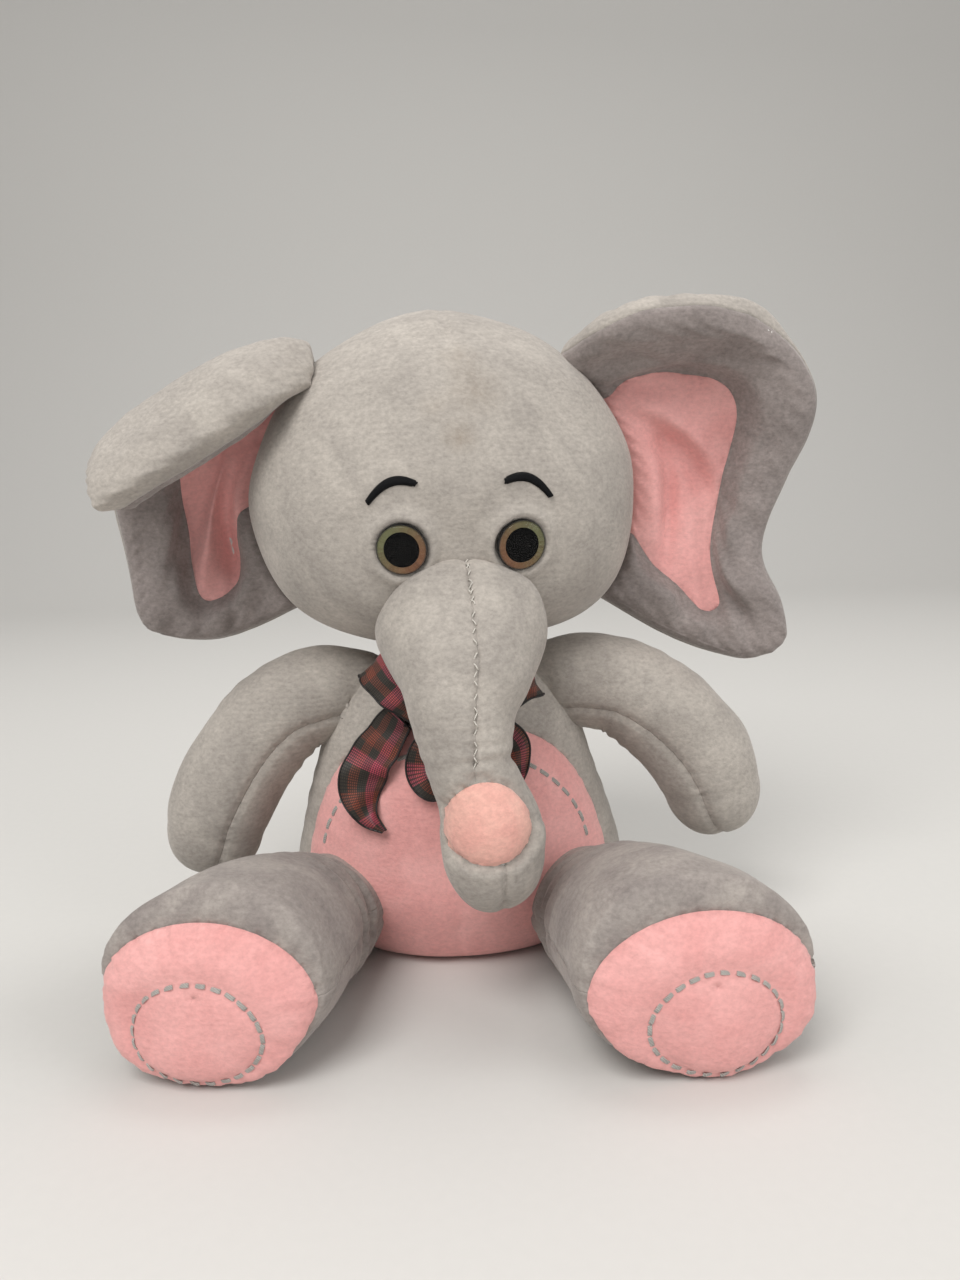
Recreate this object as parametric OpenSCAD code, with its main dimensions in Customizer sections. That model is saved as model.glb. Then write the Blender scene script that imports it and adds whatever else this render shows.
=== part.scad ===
// Sitting stuffed elephant. +X is the elephant's left, it faces -Y, and +Z is up.
// The origin is the centre of the seat, on the surface that the toy sits on. Millimetres.

/* [Head] */
// Width over the cheeks
head_w = 154; // [128:1:186]
// Height from chin to crown
head_h = 131; // [109:1:158]
// Depth from face to nape
head_d = 118; // [98:1:142]
// How far the face is turned to the elephant's left as it sits
head_yaw = 7; // [0:1:12]
// Free height between the chin and the top of the torso
chin_gap = 6.5; // [5.5:0.5:9]

/* [Torso] */
// Width over the hips
torso_w = 138; // [115:1:166]
// Height from the seat to the neck
torso_h = 113; // [94:1:136]
// Depth from tummy to back
torso_d = 98; // [82:1:118]

/* [Neck] */
// Radius of the round neck stuffing
neck_r = 20; // [17:0.5:21]

/* [Trunk] */
// Width of the root on the face
trunk_root_w = 60; // [50:1:66]
// Height of the root on the face
trunk_root_h = 50; // [42:1:54]
// Width of the narrow stretch
trunk_w = 30; // [25:1:36]
// Drop from the root's centre to the tip
trunk_drop = 86; // [72:1:90]

/* [Ears] */
// Thickness of the padded ear
ear_t = 10; // [8.5:0.5:12]
// Thickness of the ear at its sewn edge
ear_edge_t = 4.4; // [3.8:0.1:5.4]

/* [Arms] */
// Radius of the arm at its middle
arm_r = 20; // [17:0.5:22]
// Reach from the shoulder to the end of the arm
arm_len = 84; // [70:1:100]

/* [Legs] */
// Radius of the leg
leg_r = 31; // [26:0.5:34]
// Reach from the hip to the sole
leg_len = 92; // [77:1:110]
// How far each leg points away from straight ahead
leg_splay = 19; // [14:1:26]

/* [Eyes] */
// Diameter of the eye
eye_d = 18; // [15:0.5:20]
// Diameter of the pupil
pupil_d = 12.6; // [10:0.2:14]
// Radius of the shank
shank_r = 2.2; // [1.8:0.1:2.6]
// Length of the shank
shank_len = 13; // [10:0.5:15]

/* [Ribbon] */
// Width of the ribbon
ribbon_w = 18; // [15:0.5:22]
// Thickness of the ribbon with its wired edge
ribbon_t = 0.8; // [0.6:0.1:1]

/* [Cloth] */
// Thickness of the plush cloth with its pile
cloth = 1.6; // [1.2:0.1:2]
// Length of one decorative stitch
stitch_len = 3.8; // [3:0.1:4.6]
// Width of one decorative stitch
stitch_w = 1.2; // [0.8:0.1:1.5]

/* [Movement] */
// Furthest lift of the trunk
trunk_max = 35; // [0:1:45]
// Swing of an arm forwards
arm_max = 35; // [0:1:45]
// Swing of an arm backwards
arm_min = -20; // [-30:1:0]
// Lift of a leg
leg_max = 25; // [0:1:32]
// Flap of an ear to each side
ear_max = 15; // [0:1:20]
// Wag of the tail to each side
tail_max = 25; // [0:1:35]

/* [Hidden] */

grey = [0.64, 0.62, 0.60];
pink = [0.95, 0.66, 0.68];
fibre = [0.95, 0.95, 0.93];
thread = [0.62, 0.62, 0.60];
plaid = [0.36, 0.14, 0.14];

sides = 24;            // points round a section of the head and the torso
limb_sides = 16;       // points round a section of a limb
seam_gap = 0.2;        // between two panels at their seam
fill_gap = 0.25;       // between a cover and its stuffing
body_gap = 0.6;        // between two bodies that move
stitch_t = 0.7;        // height of a stitch
stitch_lift = 0.22;    // a stitch's underside over the cloth
far = 400;             // longer than the toy
face_seam_y = 0.08;    // where the seam between face and nape lies, as a share of head_d behind the middle

// ---------- shared geometry ----------

function unit(v) = v / norm(v);
function flat_list(lists) = [for (l = lists) each l];

// Smooth curve through p, at t from 0 to len(p) - 1
function curve(p, t) =
    let (n = len(p), i = min(floor(t), n - 2), u = t - i,
         a = p[max(i - 1, 0)], b = p[i], c = p[i + 1], d = p[min(i + 2, n - 1)])
    0.5 * (2 * b + (c - a) * u + (2 * a - 5 * b + 4 * c - d) * u * u
           + (3 * b - a - 3 * c + d) * u * u * u);

function curve_points(p, steps) =
    [for (i = [0 : steps]) curve(p, i * (len(p) - 1) / steps)];

// Solid through rings that all have as many points
module loft(rings) {
    n = len(rings[0]);
    last = len(rings) - 1;
    side_faces = [for (k = [0 : last - 1], i = [0 : n - 1])
        let (j = (i + 1) % n)
        each [[k * n + i, (k + 1) * n + j, k * n + j], [k * n + i, (k + 1) * n + i, (k + 1) * n + j]]];
    ends = [[for (i = [0 : n - 1]) i], [for (i = [n - 1 : -1 : 0]) last * n + i]];
    polyhedron(points = flat_list(rings), faces = concat(side_faces, ends), convexity = 6);
}

// One closed mesh of its children
module one_mesh() { resize([0, 0, 0]) children(); }

module half_space(point, normal) {
    n = unit(normal);
    turn = acos(n[2]);
    about = abs(n[2]) > 0.9999 ? [1, 0, 0] : [-n[1], n[0], 0];
    translate(point) rotate(a = turn, v = about)
        translate([-far / 2, -far / 2, 0]) cube([far, far, far / 2]);
}

// Turns its children about a line through a point
module turned(point, axis, angle) {
    translate(point) rotate(a = angle, v = axis) translate(-point) children();
}

// Puts its children at a point, with their X along a tangent and their Z along a normal
module placed(point, tangent, normal) {
    z = unit(normal);
    x = unit(tangent - z * (tangent * z));
    y = cross(z, x);
    multmatrix([[x[0], y[0], z[0], point[0]], [x[1], y[1], z[1], point[1]],
                [x[2], y[2], z[2], point[2]], [0, 0, 0, 1]]) children();
}

module stitch(point, tangent, normal, length = stitch_len) {
    placed(point, tangent, normal)
        translate([-length / 2, -stitch_w / 2, stitch_lift]) cube([length, stitch_w, stitch_t]);
}

// ---------- torso ----------

// Height and half width, as shares of the torso's own
torso_profile = [[0, 0.72], [0.03, 0.86], [0.11, 0.96], [0.25, 1], [0.44, 0.93], [0.64, 0.825],
                 [0.82, 0.72], [0.92, 0.61], [0.975, 0.48], [1, 0.33]];
torso_steps = 11;

// Half width, front depth and back depth at a height
function torso_half(z) = lookup(z / torso_h, torso_profile) * torso_w / 2;
function torso_depth(z) = torso_half(z) * (torso_d / torso_w) * (1.02 + 0.26 * z / torso_h);
function torso_back(z) = torso_depth(z) * 0.9;

module torso_body(inset = 0) {
    levels = curve_points(torso_profile, torso_steps);
    loft([for (l = levels)
        let (z = l[0] * torso_h, w = l[1] * torso_w / 2,
             d = w * (torso_d / torso_w) * (1.02 + 0.26 * l[0]))
        [for (i = [0 : sides - 1]) let (a = 360 * i / sides)
            [(w - inset) * cos(a), ((sin(a) < 0 ? d : d * 0.9) - inset) * sin(a),
             inset + (torso_h - 2 * inset) * l[0]]]]);
}

// Front surface of the torso at a place, and the way it faces
function torso_front(x, z) =
    [x, -torso_depth(z) * sqrt(max(0, 1 - pow(x / torso_half(z), 2))), z];
function torso_front_normal(x, z) =
    let (e = 1.5, a = torso_front(x + e, z) - torso_front(x - e, z),
         b = torso_front(x, z + e) - torso_front(x, z - e))
    unit(cross(a, b));

tummy_top = 0.9 * torso_h;
tummy_half = 0.44 * torso_w;
tummy_wide_z = 0.34 * torso_h;

// Outline of the tummy panel, seen from the front, shrunk by an inset
function tummy_outline(inset) =
    let (h = tummy_half - inset, top = tummy_top - inset)
    concat([for (i = [0 : 10]) let (a = 18 * i)
                [h * cos(a), tummy_wide_z + (top - tummy_wide_z) * sin(a)]],
           [[-h * 0.55, -1], [h * 0.55, -1]]);

module tummy_zone(inset = 0) {
    rotate([90, 0, 0]) linear_extrude(height = far / 2) polygon(tummy_outline(inset));
}

seat_r = 0.27 * torso_w;
seat_t = 1.5;

// What the limbs, the neck and the tail need inside the torso
module torso_hollows(extra = 0) {
    for (s = [1, -1]) {
        shoulder_pocket(s, extra);
        hip_pocket(s, extra);
    }
    tail_pocket(extra);
}

module torso_shell() {
    difference() {
        torso_body();
        torso_body(cloth);
        torso_hollows();
        translate([0, 0, -1]) cylinder(r = seat_r + seam_gap, h = cloth + 2, $fn = 48);
    }
}

module torso_side(s) {
    color(grey) one_mesh() difference() {
        torso_shell();
        tummy_zone(-seam_gap / 2);
        translate([s > 0 ? -far + seam_gap / 2 : -seam_gap / 2, -far / 2, -far / 2]) cube(far);
    }
}

module tummy_panel() {
    color(pink) one_mesh() intersection() {
        torso_shell();
        tummy_zone(seam_gap / 2);
    }
}

module seat_panel() {
    color(grey) cylinder(r = seat_r, h = seat_t, $fn = 64);
}

module torso_stuffing() {
    color(fibre) one_mesh() difference() {
        torso_body(cloth + fill_gap);
        torso_hollows(fill_gap);
    }
}

stitch_inset = 9;       // from the tummy panel's edge to its running stitch
tummy_stitch_n = 14;
tummy_stitch_low = 42;  // the running stitch ends at this angle above the legs

function tummy_stitch_place(a) =
    let (h = tummy_half - stitch_inset, top = tummy_top - stitch_inset)
    [h * cos(a), tummy_wide_z + (top - tummy_wide_z) * sin(a)];

module tummy_stitches() {
    color(thread)
    for (i = [0 : tummy_stitch_n - 1]) {
        a = tummy_stitch_low + (180 - 2 * tummy_stitch_low) * i / (tummy_stitch_n - 1);
        p = tummy_stitch_place(a);
        q = tummy_stitch_place(a + 1);
        at = torso_front(p[0], p[1]);
        stitch(at, torso_front(q[0], q[1]) - at, torso_front_normal(p[0], p[1]));
    }
}

back_stitch_n = 9;
back_stitch_low = 0.34 * torso_h;
back_stitch_high = 0.66 * torso_h;

// The ladder stitch that closes the back after filling
module back_seam_thread() {
    color(thread)
    for (i = [0 : back_stitch_n - 1]) {
        z = back_stitch_low + (back_stitch_high - back_stitch_low) * i / (back_stitch_n - 1);
        slope = (torso_back(z + 1) - torso_back(z - 1)) / 2;
        stitch([0, torso_back(z), z], [1, 0, 0], [0, 1, -slope], 3.2);
    }
}

// ---------- neck ----------

neck_c = [0, 0, torso_h + 17];
neck_seat_gap = 0.3;

module neck_stuffing() {
    color(fibre) difference() {
        translate(neck_c) sphere(r = neck_r, $fn = 48);
        translate([-far / 2, -far / 2, torso_h + neck_seat_gap - far]) cube(far);
    }
}

// ---------- head ----------

head_z0 = torso_h + chin_gap;
head_steps = 12;
pole = 6;               // half angle of the flat left at the crown and under the chin
head_share = head_d / head_w;

// Half width of the head, c from 1 at the chin to -1 at the crown
function head_half_c(c) =
    head_w / 2 * sqrt(max(0, 1 - c * c)) * (0.99 + 0.12 * c + 0.25 * pow(max(c, 0), 3));
function head_c(z) = 1 - 2 * (z - head_z0) / head_h;
function head_half(z) = head_half_c(head_c(z));
function head_front(x, z) =
    [x, -head_share * sqrt(max(0, pow(head_half(z), 2) - x * x)), z];
function head_front_normal(x, z) =
    let (e = 1.5, a = head_front(x + e, z) - head_front(x - e, z),
         b = head_front(x, z + e) - head_front(x, z - e))
    unit(cross(a, b));
// A place on the head's side, lon degrees behind the elephant's left, and the way it faces
function head_side(lon, z) =
    let (h = head_half(z)) [h * cos(lon), head_share * h * sin(lon), z];
function head_side_normal(lon, z) =
    let (a = head_side(lon + 2, z) - head_side(lon - 2, z),
         b = head_side(lon, z + 1.5) - head_side(lon, z - 1.5))
    unit(cross(a, b));

function yawed(p) = [p[0] * cos(head_yaw) - p[1] * sin(head_yaw),
                     p[0] * sin(head_yaw) + p[1] * cos(head_yaw), p[2]];
module facing() { rotate([0, 0, head_yaw]) children(); }

module head_body(inset = 0) {
    k = (head_h - 2 * inset) / head_h;
    loft([for (j = [0 : head_steps])
        let (th = pole + (180 - 2 * pole) * j / head_steps, c = cos(th), h = head_half_c(c) - inset,
             d = head_share * head_half_c(c) - inset)
        [for (i = [0 : sides - 1]) let (a = 360 * i / sides)
            [h * cos(a), d * sin(a), head_z0 + inset + k * head_h * (1 - c) / 2]]]);
}

module neck_socket(extra = 0) {
    translate(neck_c) sphere(r = neck_r + body_gap + extra, $fn = 32);
}

// Face-side frame of each eye
eye_x = 0.137 * head_w;
eye_z = head_z0 + 0.33 * head_h;
eye_sink = 0.9;
backing_t = 1.2;
print_t = 0.3;
skin_gap = 0.05;
dome_h = 0.24 * eye_d;
washer_r = 0.39 * eye_d;
washer_t = 1.4;
washer_depth = 2.4;
washer_fit = 0.05;

module at_eye(s) {
    facing() placed(head_front(s * eye_x, eye_z), [1, 0, 0], head_front_normal(s * eye_x, eye_z))
        translate([0, 0, -eye_sink]) children();
}

module eye_hollows(extra = 0) {
    for (s = [1, -1]) {
        at_eye(s) {
            cylinder(r = eye_d / 2 + 0.4, h = 6, $fn = 24);
            translate([0, 0, -shank_len - 0.6 - extra])
                cylinder(r = shank_r + 0.3 + extra, h = shank_len + 1 + extra, $fn = 16);
            translate([0, 0, -washer_depth - washer_t - 0.2 - extra])
                cylinder(r = washer_r + 0.4 + extra, h = washer_t + 0.4 + 2 * extra, $fn = 20);
        }
    }
}

// Opening for the neck in the head's cover
module neck_hole() {
    translate([0, 0, head_z0 - 1]) cylinder(r = neck_r + body_gap, h = neck_c[2] - head_z0, $fn = 22);
}

module head_shell() {
    difference() {
        facing() head_body();
        facing() head_body(cloth);
        neck_hole();
        facing() trunk_socket();
        eye_hollows();
    }
}

// What lies in front of the seam between face and nape
module face_side(shift) {
    facing() half_space([0, face_seam_y * head_d - shift, 0], [0, -1, 0]);
}

module head_face_panel() {
    color(grey) one_mesh() intersection() { head_shell(); face_side(seam_gap / 2); }
}

module head_back_panel() {
    color(grey) one_mesh() difference() { head_shell(); face_side(-seam_gap / 2); }
}

module head_stuffing() {
    color(fibre) one_mesh() difference() {
        facing() head_body(cloth + fill_gap);
        neck_socket(fill_gap);
        facing() trunk_socket(fill_gap);
        eye_hollows(0.2);
    }
}

module eye_shank(s) {
    color("black") at_eye(s) {
        cylinder(r = eye_d / 2, h = backing_t, $fn = 64);
        translate([0, 0, -shank_len]) cylinder(r = shank_r, h = shank_len + 0.1, $fn = 32);
    }
}

module eye_iris(s) {
    color([0.45, 0.42, 0.32]) at_eye(s) translate([0, 0, backing_t + skin_gap]) difference() {
        cylinder(r = eye_d / 2 - 0.2, h = print_t, $fn = 64);
        translate([0, 0, -1]) cylinder(r = pupil_d / 2, h = print_t + 2, $fn = 64);
    }
}

module eye_pupil(s) {
    color([0.02, 0.02, 0.02]) at_eye(s) translate([0, 0, backing_t + skin_gap])
        cylinder(r = pupil_d / 2 - skin_gap, h = print_t, $fn = 64);
}

module eye_dome(s) {
    cap_r = (pow(eye_d / 2, 2) + pow(dome_h, 2)) / (2 * dome_h);
    color([0.85, 0.88, 0.88, 0.4]) at_eye(s) translate([0, 0, backing_t + print_t + 2 * skin_gap])
        intersection() {
            translate([0, 0, dome_h - cap_r]) sphere(r = cap_r, $fn = 64);
            translate([-eye_d, -eye_d, 0]) cube(2 * eye_d);
        }
}

module eye_washers() {
    color([0.9, 0.9, 0.88])
    for (s = [1, -1]) {
        at_eye(s) translate([0, 0, -washer_depth - washer_t]) difference() {
            cylinder(r = washer_r, h = washer_t, $fn = 48);
            translate([0, 0, -1]) cylinder(r = shank_r + washer_fit, h = washer_t + 2, $fn = 32);
        }
    }
}

brow_in = 0.1 * head_w;
brow_out = 0.208 * head_w;
brow_z = head_z0 + 0.5 * head_h;
brow_rise = 2.6;
brow_drop = 7;
brow_w = 1.5;
brow_t = 0.45;

// Centre line of an eyebrow, u from 0 near the trunk to 1 at the temple
function brow_at(s, u) =
    let (x = s * (brow_in + (brow_out - brow_in) * u),
         z = brow_z + brow_rise * sin(150 * u) - brow_drop * pow(max(u, 0), 2.2))
    head_front(x, z) + head_front_normal(x, z) * (brow_t + 0.15);

module eyebrow(s) {
    color("black") facing() loft([for (k = [0 : 8])
        let (u = k / 8, p = brow_at(s, u), e = brow_at(s, u + 0.03) - brow_at(s, u - 0.03),
             t = unit(e), n = head_front_normal(p[0], p[2]), b = unit(cross(n, t)),
             w = brow_w * (0.35 + 0.65 * sin(25 + 135 * (1 - u))) * (k == 0 ? 0.5 : 1))
        [for (i = [0 : 7]) p + b * w * cos(45 * i) + n * brow_t * sin(45 * i)]]);
}

// ---------- limbs ----------

// Path point: place, half width across, half height
function limb_frame(path, k, up) =
    let (n = len(path), a = path[max(k - 1, 0)][0], b = path[min(k + 1, n - 1)][0], t = unit(b - a),
         s = unit(cross(t, up))) [t, s, cross(t, s)];

// Places round the limb at path point k, from an angle over a span
function limb_arc(path, k, up, inset, from, span, n) =
    let (f = limb_frame(path, k, up), w = max(path[k][1] - inset, 0.4), h = max(path[k][2] - inset, 0.4))
    [for (i = [0 : n]) let (a = from + span * i / n) path[k][0] + f[1] * w * cos(a) + f[2] * h * sin(a)];

module limb(path, up, inset = 0) {
    loft([for (k = [0 : len(path) - 1])
        limb_arc(path, k, up, inset, 0, 360 * (limb_sides - 1) / limb_sides, limb_sides - 1)]);
}

// Half of a limb's cover, from a seam at an angle to the seam on the other side
module half_cover(path, up, turn) {
    inner = inset_path(path, cloth);
    n = limb_sides / 2;
    m = 2 * (n + 1);
    last = len(path) - 1;
    rings = [for (k = [0 : last])
        let (g = seam_gap / 2 / max(path[k][1], 4) * 180 / PI,
             outside = limb_arc(path, k, up, 0, turn + g, 180 - 2 * g, n),
             inside = limb_arc(inner, k, up, cloth, turn + g, 180 - 2 * g, n))
        concat(outside, [for (i = [n : -1 : 0]) inside[i]])];
    side_faces = [for (k = [0 : last - 1], i = [0 : m - 1])
        let (j = (i + 1) % m)
        each [[k * m + i, (k + 1) * m + j, k * m + j], [k * m + i, (k + 1) * m + i, (k + 1) * m + j]]];
    ends = [for (i = [0 : n - 1]) each [
        [i, i + 1, m - 2 - i], [i, m - 2 - i, m - 1 - i],
        [last * m + m - 2 - i, last * m + i + 1, last * m + i],
        [last * m + m - 1 - i, last * m + m - 2 - i, last * m + i]]];
    polyhedron(points = flat_list(rings), faces = concat(side_faces, ends), convexity = 8);
}

cap_steps = 3;
cap_end = 81;           // degrees round the cap, up to its small flat

// Adds a round start and a round end to a list of [place, half width, half height].
// The start is half a ball on the joint, the end bulges by end_h.

function rounded(body, end_h) =
    let (n = len(body), d0 = unit(body[0][0] - body[1][0]), d1 = unit(body[n - 1][0] - body[n - 2][0]),
         r0 = body[0][1], step = cap_end / cap_steps)
    concat([for (k = [cap_steps : -1 : 1]) let (a = k * step)
                [body[0][0] + d0 * r0 * sin(a), r0 * cos(a), body[0][2] * cos(a)]],
           body,
           [for (k = [1 : cap_steps]) let (a = k * step)
                [body[n - 1][0] + d1 * end_h * sin(a), body[n - 1][1] * cos(a), body[n - 1][2] * cos(a)]]);

function inset_path(path, inset) =
    let (n = len(path), d0 = unit(path[1][0] - path[0][0]), d1 = unit(path[n - 2][0] - path[n - 1][0]))
    [for (k = [0 : n - 1])
        let (near_start = max(0, 1 - k / cap_steps), near_end = max(0, 1 - (n - 1 - k) / cap_steps))
        [path[k][0] + (d0 * near_start + d1 * near_end) * inset, path[k][1], path[k][2]]];

// ---------- arms ----------

shoulder_z = 0.9 * torso_h;
shoulder_x = torso_half(shoulder_z) - 1;
shoulder_y = -3;
arm_root_r = 0.92 * arm_r;
arm_steps = 7;

function shoulder(s) = [s * shoulder_x, shoulder_y, shoulder_z];

// Centre line from the shoulder, as shares of the arm's reach. The left arm is held a little higher.
arm_line_left = [[0, 0, 0], [0.26, -0.05, 0.0], [0.48, -0.1, -0.12], [0.67, -0.15, -0.33], [0.74, -0.17, -0.5]];
arm_line_right = [[0, 0, 0], [0.24, -0.05, -0.04], [0.45, -0.1, -0.22], [0.6, -0.15, -0.46], [0.66, -0.17, -0.63]];
arm_girth = [0.92, 1, 1.04, 1.04, 0.98];

function arm_path(s) =
    let (line = s > 0 ? arm_line_left : arm_line_right)
    rounded([for (k = [0 : arm_steps])
        let (t = k * 4 / arm_steps, p = curve(line, t), r = arm_r * curve(arm_girth, t))
        [shoulder(s) + arm_len * [s * p[0], p[1], p[2]], r, k == 0 ? r : r * 0.96]], arm_r * 0.95);

arm_up = [0, -1, 0];

// The seams run along the lower front and the upper back of an arm
module arm_panel(s, upper) {
    color(grey) half_cover(arm_path(s), arm_up, s * (upper ? 130 : -50));
}

module arm_stuffing(s) {
    color(fibre) limb(inset_path(arm_path(s), cloth + fill_gap), arm_up, cloth + fill_gap);
}

shoulder_play = 1.8;    // spare room round the arm below the shoulder

// Room for the arm's root through its swing
module shoulder_pocket(s, extra) {
    r = arm_root_r + body_gap + extra;
    reach = 0.22 * arm_len;
    wide = arm_r + body_gap + shoulder_play + extra;
    hull() {
        translate(shoulder(s)) sphere(r = r, $fn = 20);
        for (a = [arm_min, (arm_min + arm_max) / 2, arm_max])
            turned(shoulder(s), [-1, 0, 0], a)
                translate(shoulder(s) + [s * reach, -0.04 * arm_len, -0.02 * arm_len])
                    rotate([0, s * 90, 0]) cylinder(r = wide, h = reach, $fn = 20);
    }
}

// ---------- legs ----------

hip_x = 0.32 * torso_w;
hip_y = -0.29 * torso_d;
leg_z = leg_r - 1;
leg_steps = 5;
sole_bulge = 11;

function leg_dir(s) = [s * sin(leg_splay), -cos(leg_splay), 0];
function leg_side(s) = [cos(leg_splay), s * sin(leg_splay), 0];
function hip(s) = [s * hip_x, hip_y, leg_z];
foot_reach = leg_len - sole_bulge;

leg_girth = [0.94, 0.96, 0.98, 1, 1.03];

function leg_path(s) =
    rounded([for (k = [0 : leg_steps])
        let (t = k * 4 / leg_steps, r = leg_r * curve(leg_girth, t))
        [hip(s) + leg_dir(s) * foot_reach * t / 4, r, k == 0 ? r : r * (1 - 0.012 * t)]], sole_bulge);

leg_up = [0, 0, 1];

module above_floor(height) {
    translate([-far / 2, -far / 2, height]) cube(far);
}

module leg_outer(s) {
    intersection() { limb(leg_path(s), leg_up); above_floor(0); }
}

module leg_shell(s) {
    difference() {
        leg_outer(s);
        intersection() {
            limb(inset_path(leg_path(s), cloth), leg_up, cloth);
            above_floor(cloth);
        }
    }
}

sole_reach = foot_reach + 2;    // from the hip to the seam round the sole

module sole_space(s, shift) {
    half_space(hip(s) + leg_dir(s) * (sole_reach + shift), leg_dir(s));
}

module leg_panel(s, upper) {
    color(grey) one_mesh() difference() {
        leg_shell(s);
        sole_space(s, -seam_gap);
        translate([-far / 2, -far / 2, upper ? leg_z + seam_gap / 2 - far : leg_z - seam_gap / 2]) cube(far);
    }
}

module sole(s) {
    color(pink) one_mesh() intersection() { leg_shell(s); sole_space(s, 0); }
}

module leg_stuffing(s) {
    color(fibre) one_mesh() intersection() {
        limb(inset_path(leg_path(s), cloth + fill_gap), leg_up, cloth + fill_gap);
        above_floor(cloth + fill_gap);
    }
}

// Room for the thigh through its lift
module hip_pocket(s, extra) {
    r = leg_r + body_gap + extra;
    reach = 0.45 * leg_len;
    hull() {
        translate(hip(s)) sphere(r = 0.94 * leg_r + body_gap + extra, $fn = 24);
        for (a = [0, leg_max / 2, leg_max])
            turned(hip(s), -leg_side(s), a)
                translate(hip(s) + leg_dir(s) * reach) placed([0, 0, 0], leg_side(s), leg_dir(s))
                    cylinder(r = r, h = 12, $fn = 24);
    }
    // the thigh's root is cut flat by the floor, so the pocket is open below
    translate([hip(s)[0], hip(s)[1], -1]) cylinder(r = 0.6 * leg_r, h = 8, $fn = 24);
}

ring_r = 0.65 * leg_r;
ring_drop = 0.16 * leg_r;
ring_n = 26;

// Surface of the sole at a place across and up from its middle, and the way it faces
function sole_at(s, a, b) =
    let (last = leg_path(s)[cap_steps + leg_steps], w = last[1], h = last[2],
         d = sole_bulge * sqrt(max(0, 1 - pow(a / w, 2) - pow(b / h, 2))))
    last[0] + leg_side(s) * a + [0, 0, b] + leg_dir(s) * d;
function sole_normal(s, a, b) =
    let (last = leg_path(s)[cap_steps + leg_steps], w = last[1], h = last[2],
         q = sqrt(max(0.02, 1 - pow(a / w, 2) - pow(b / h, 2))))
    unit(leg_side(s) * a / (w * w) + [0, 0, b / (h * h)] + leg_dir(s) * q / sole_bulge);

module sole_stitches(s) {
    color(thread)
    for (i = [0 : ring_n - 1]) {
        t = 360 * i / ring_n;
        a = ring_r * cos(t);
        b = ring_r * 0.92 * sin(t) - ring_drop;
        stitch(sole_at(s, a, b), -leg_side(s) * sin(t) + [0, 0, cos(t)], sole_normal(s, a, b));
    }
}

// ---------- trunk ----------

trunk_c = [0, -0.39 * head_d, head_z0 + 0.105 * head_h];   // centre of the root, before the head's turn
trunk_steps = 9;
// Drop and reach forward, as shares of trunk_drop, with the half width and the half depth
trunk_line = [[0, 0], [0.16, 0.2], [0.36, 0.33], [0.56, 0.37], [0.74, 0.385], [0.83, 0.41]];
trunk_half_w = [trunk_root_w / 2, 0.44 * trunk_root_w, 0.33 * trunk_root_w, trunk_w / 2, 0.53 * trunk_w, 0.55 * trunk_w];
trunk_half_d = [trunk_root_h / 2, 0.43 * trunk_root_h, 0.35 * trunk_root_h, trunk_w / 2, 0.52 * trunk_w, 0.52 * trunk_w];
trunk_up = [1, 0, 0];

function trunk_path() =
    rounded([for (k = [0 : trunk_steps])
        let (t = k * 5 / trunk_steps, p = curve(trunk_line, t) * trunk_drop)
        [trunk_c + [0, -p[1], -p[0]], curve(trunk_half_d, t), curve(trunk_half_w, t)]], 0.17 * trunk_drop);

// The root turns on the elephant's left-right line, so it is round about that line
module trunk_socket(extra = 0) {
    r = trunk_root_h / 2 + body_gap + extra;
    w = trunk_root_w / 2 + body_gap + extra;
    reach = 0.2 * trunk_drop;
    hull() {
        translate(trunk_c) scale([w / r, 1, 1]) sphere(r = r, $fn = 32);
        for (a = [0, trunk_max])
            turned(trunk_c, [-1, 0, 0], a)
                translate(trunk_c + reach * [0, -0.8, -0.7]) scale([w / r, 1, 1]) sphere(r = r - 1.5, $fn = 24);
    }
}

module trunk_half(s) { half_cover(trunk_path(), trunk_up, s > 0 ? -180 : 0); }

pad_r = 0.46 * trunk_w;
pad_reach = 0.8 * trunk_w;

// The round pad on the front of the tip
module pad_space(gap) {
    tip = trunk_path()[cap_steps + trunk_steps][0];
    translate(tip + [0, 0, 2]) placed([0, 0, 0], [1, 0, 0], [0, -1, 0.25])
        cylinder(r = pad_r + gap, h = pad_reach, $fn = 32);
}

module trunk_panel(s) {
    color(grey) facing() one_mesh() difference() {
        trunk_half(s);
        pad_space(seam_gap / 2);
    }
}

module trunk_tip_pad() {
    color(pink) facing() one_mesh() intersection() {
        difference() {
            limb(trunk_path(), trunk_up);
            limb(inset_path(trunk_path(), cloth), trunk_up, cloth);
        }
        pad_space(-seam_gap / 2);
    }
}

module trunk_stuffing() {
    color(fibre) facing() limb(inset_path(trunk_path(), cloth + fill_gap), trunk_up, cloth + fill_gap);
}

// ---------- ears ----------

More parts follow.
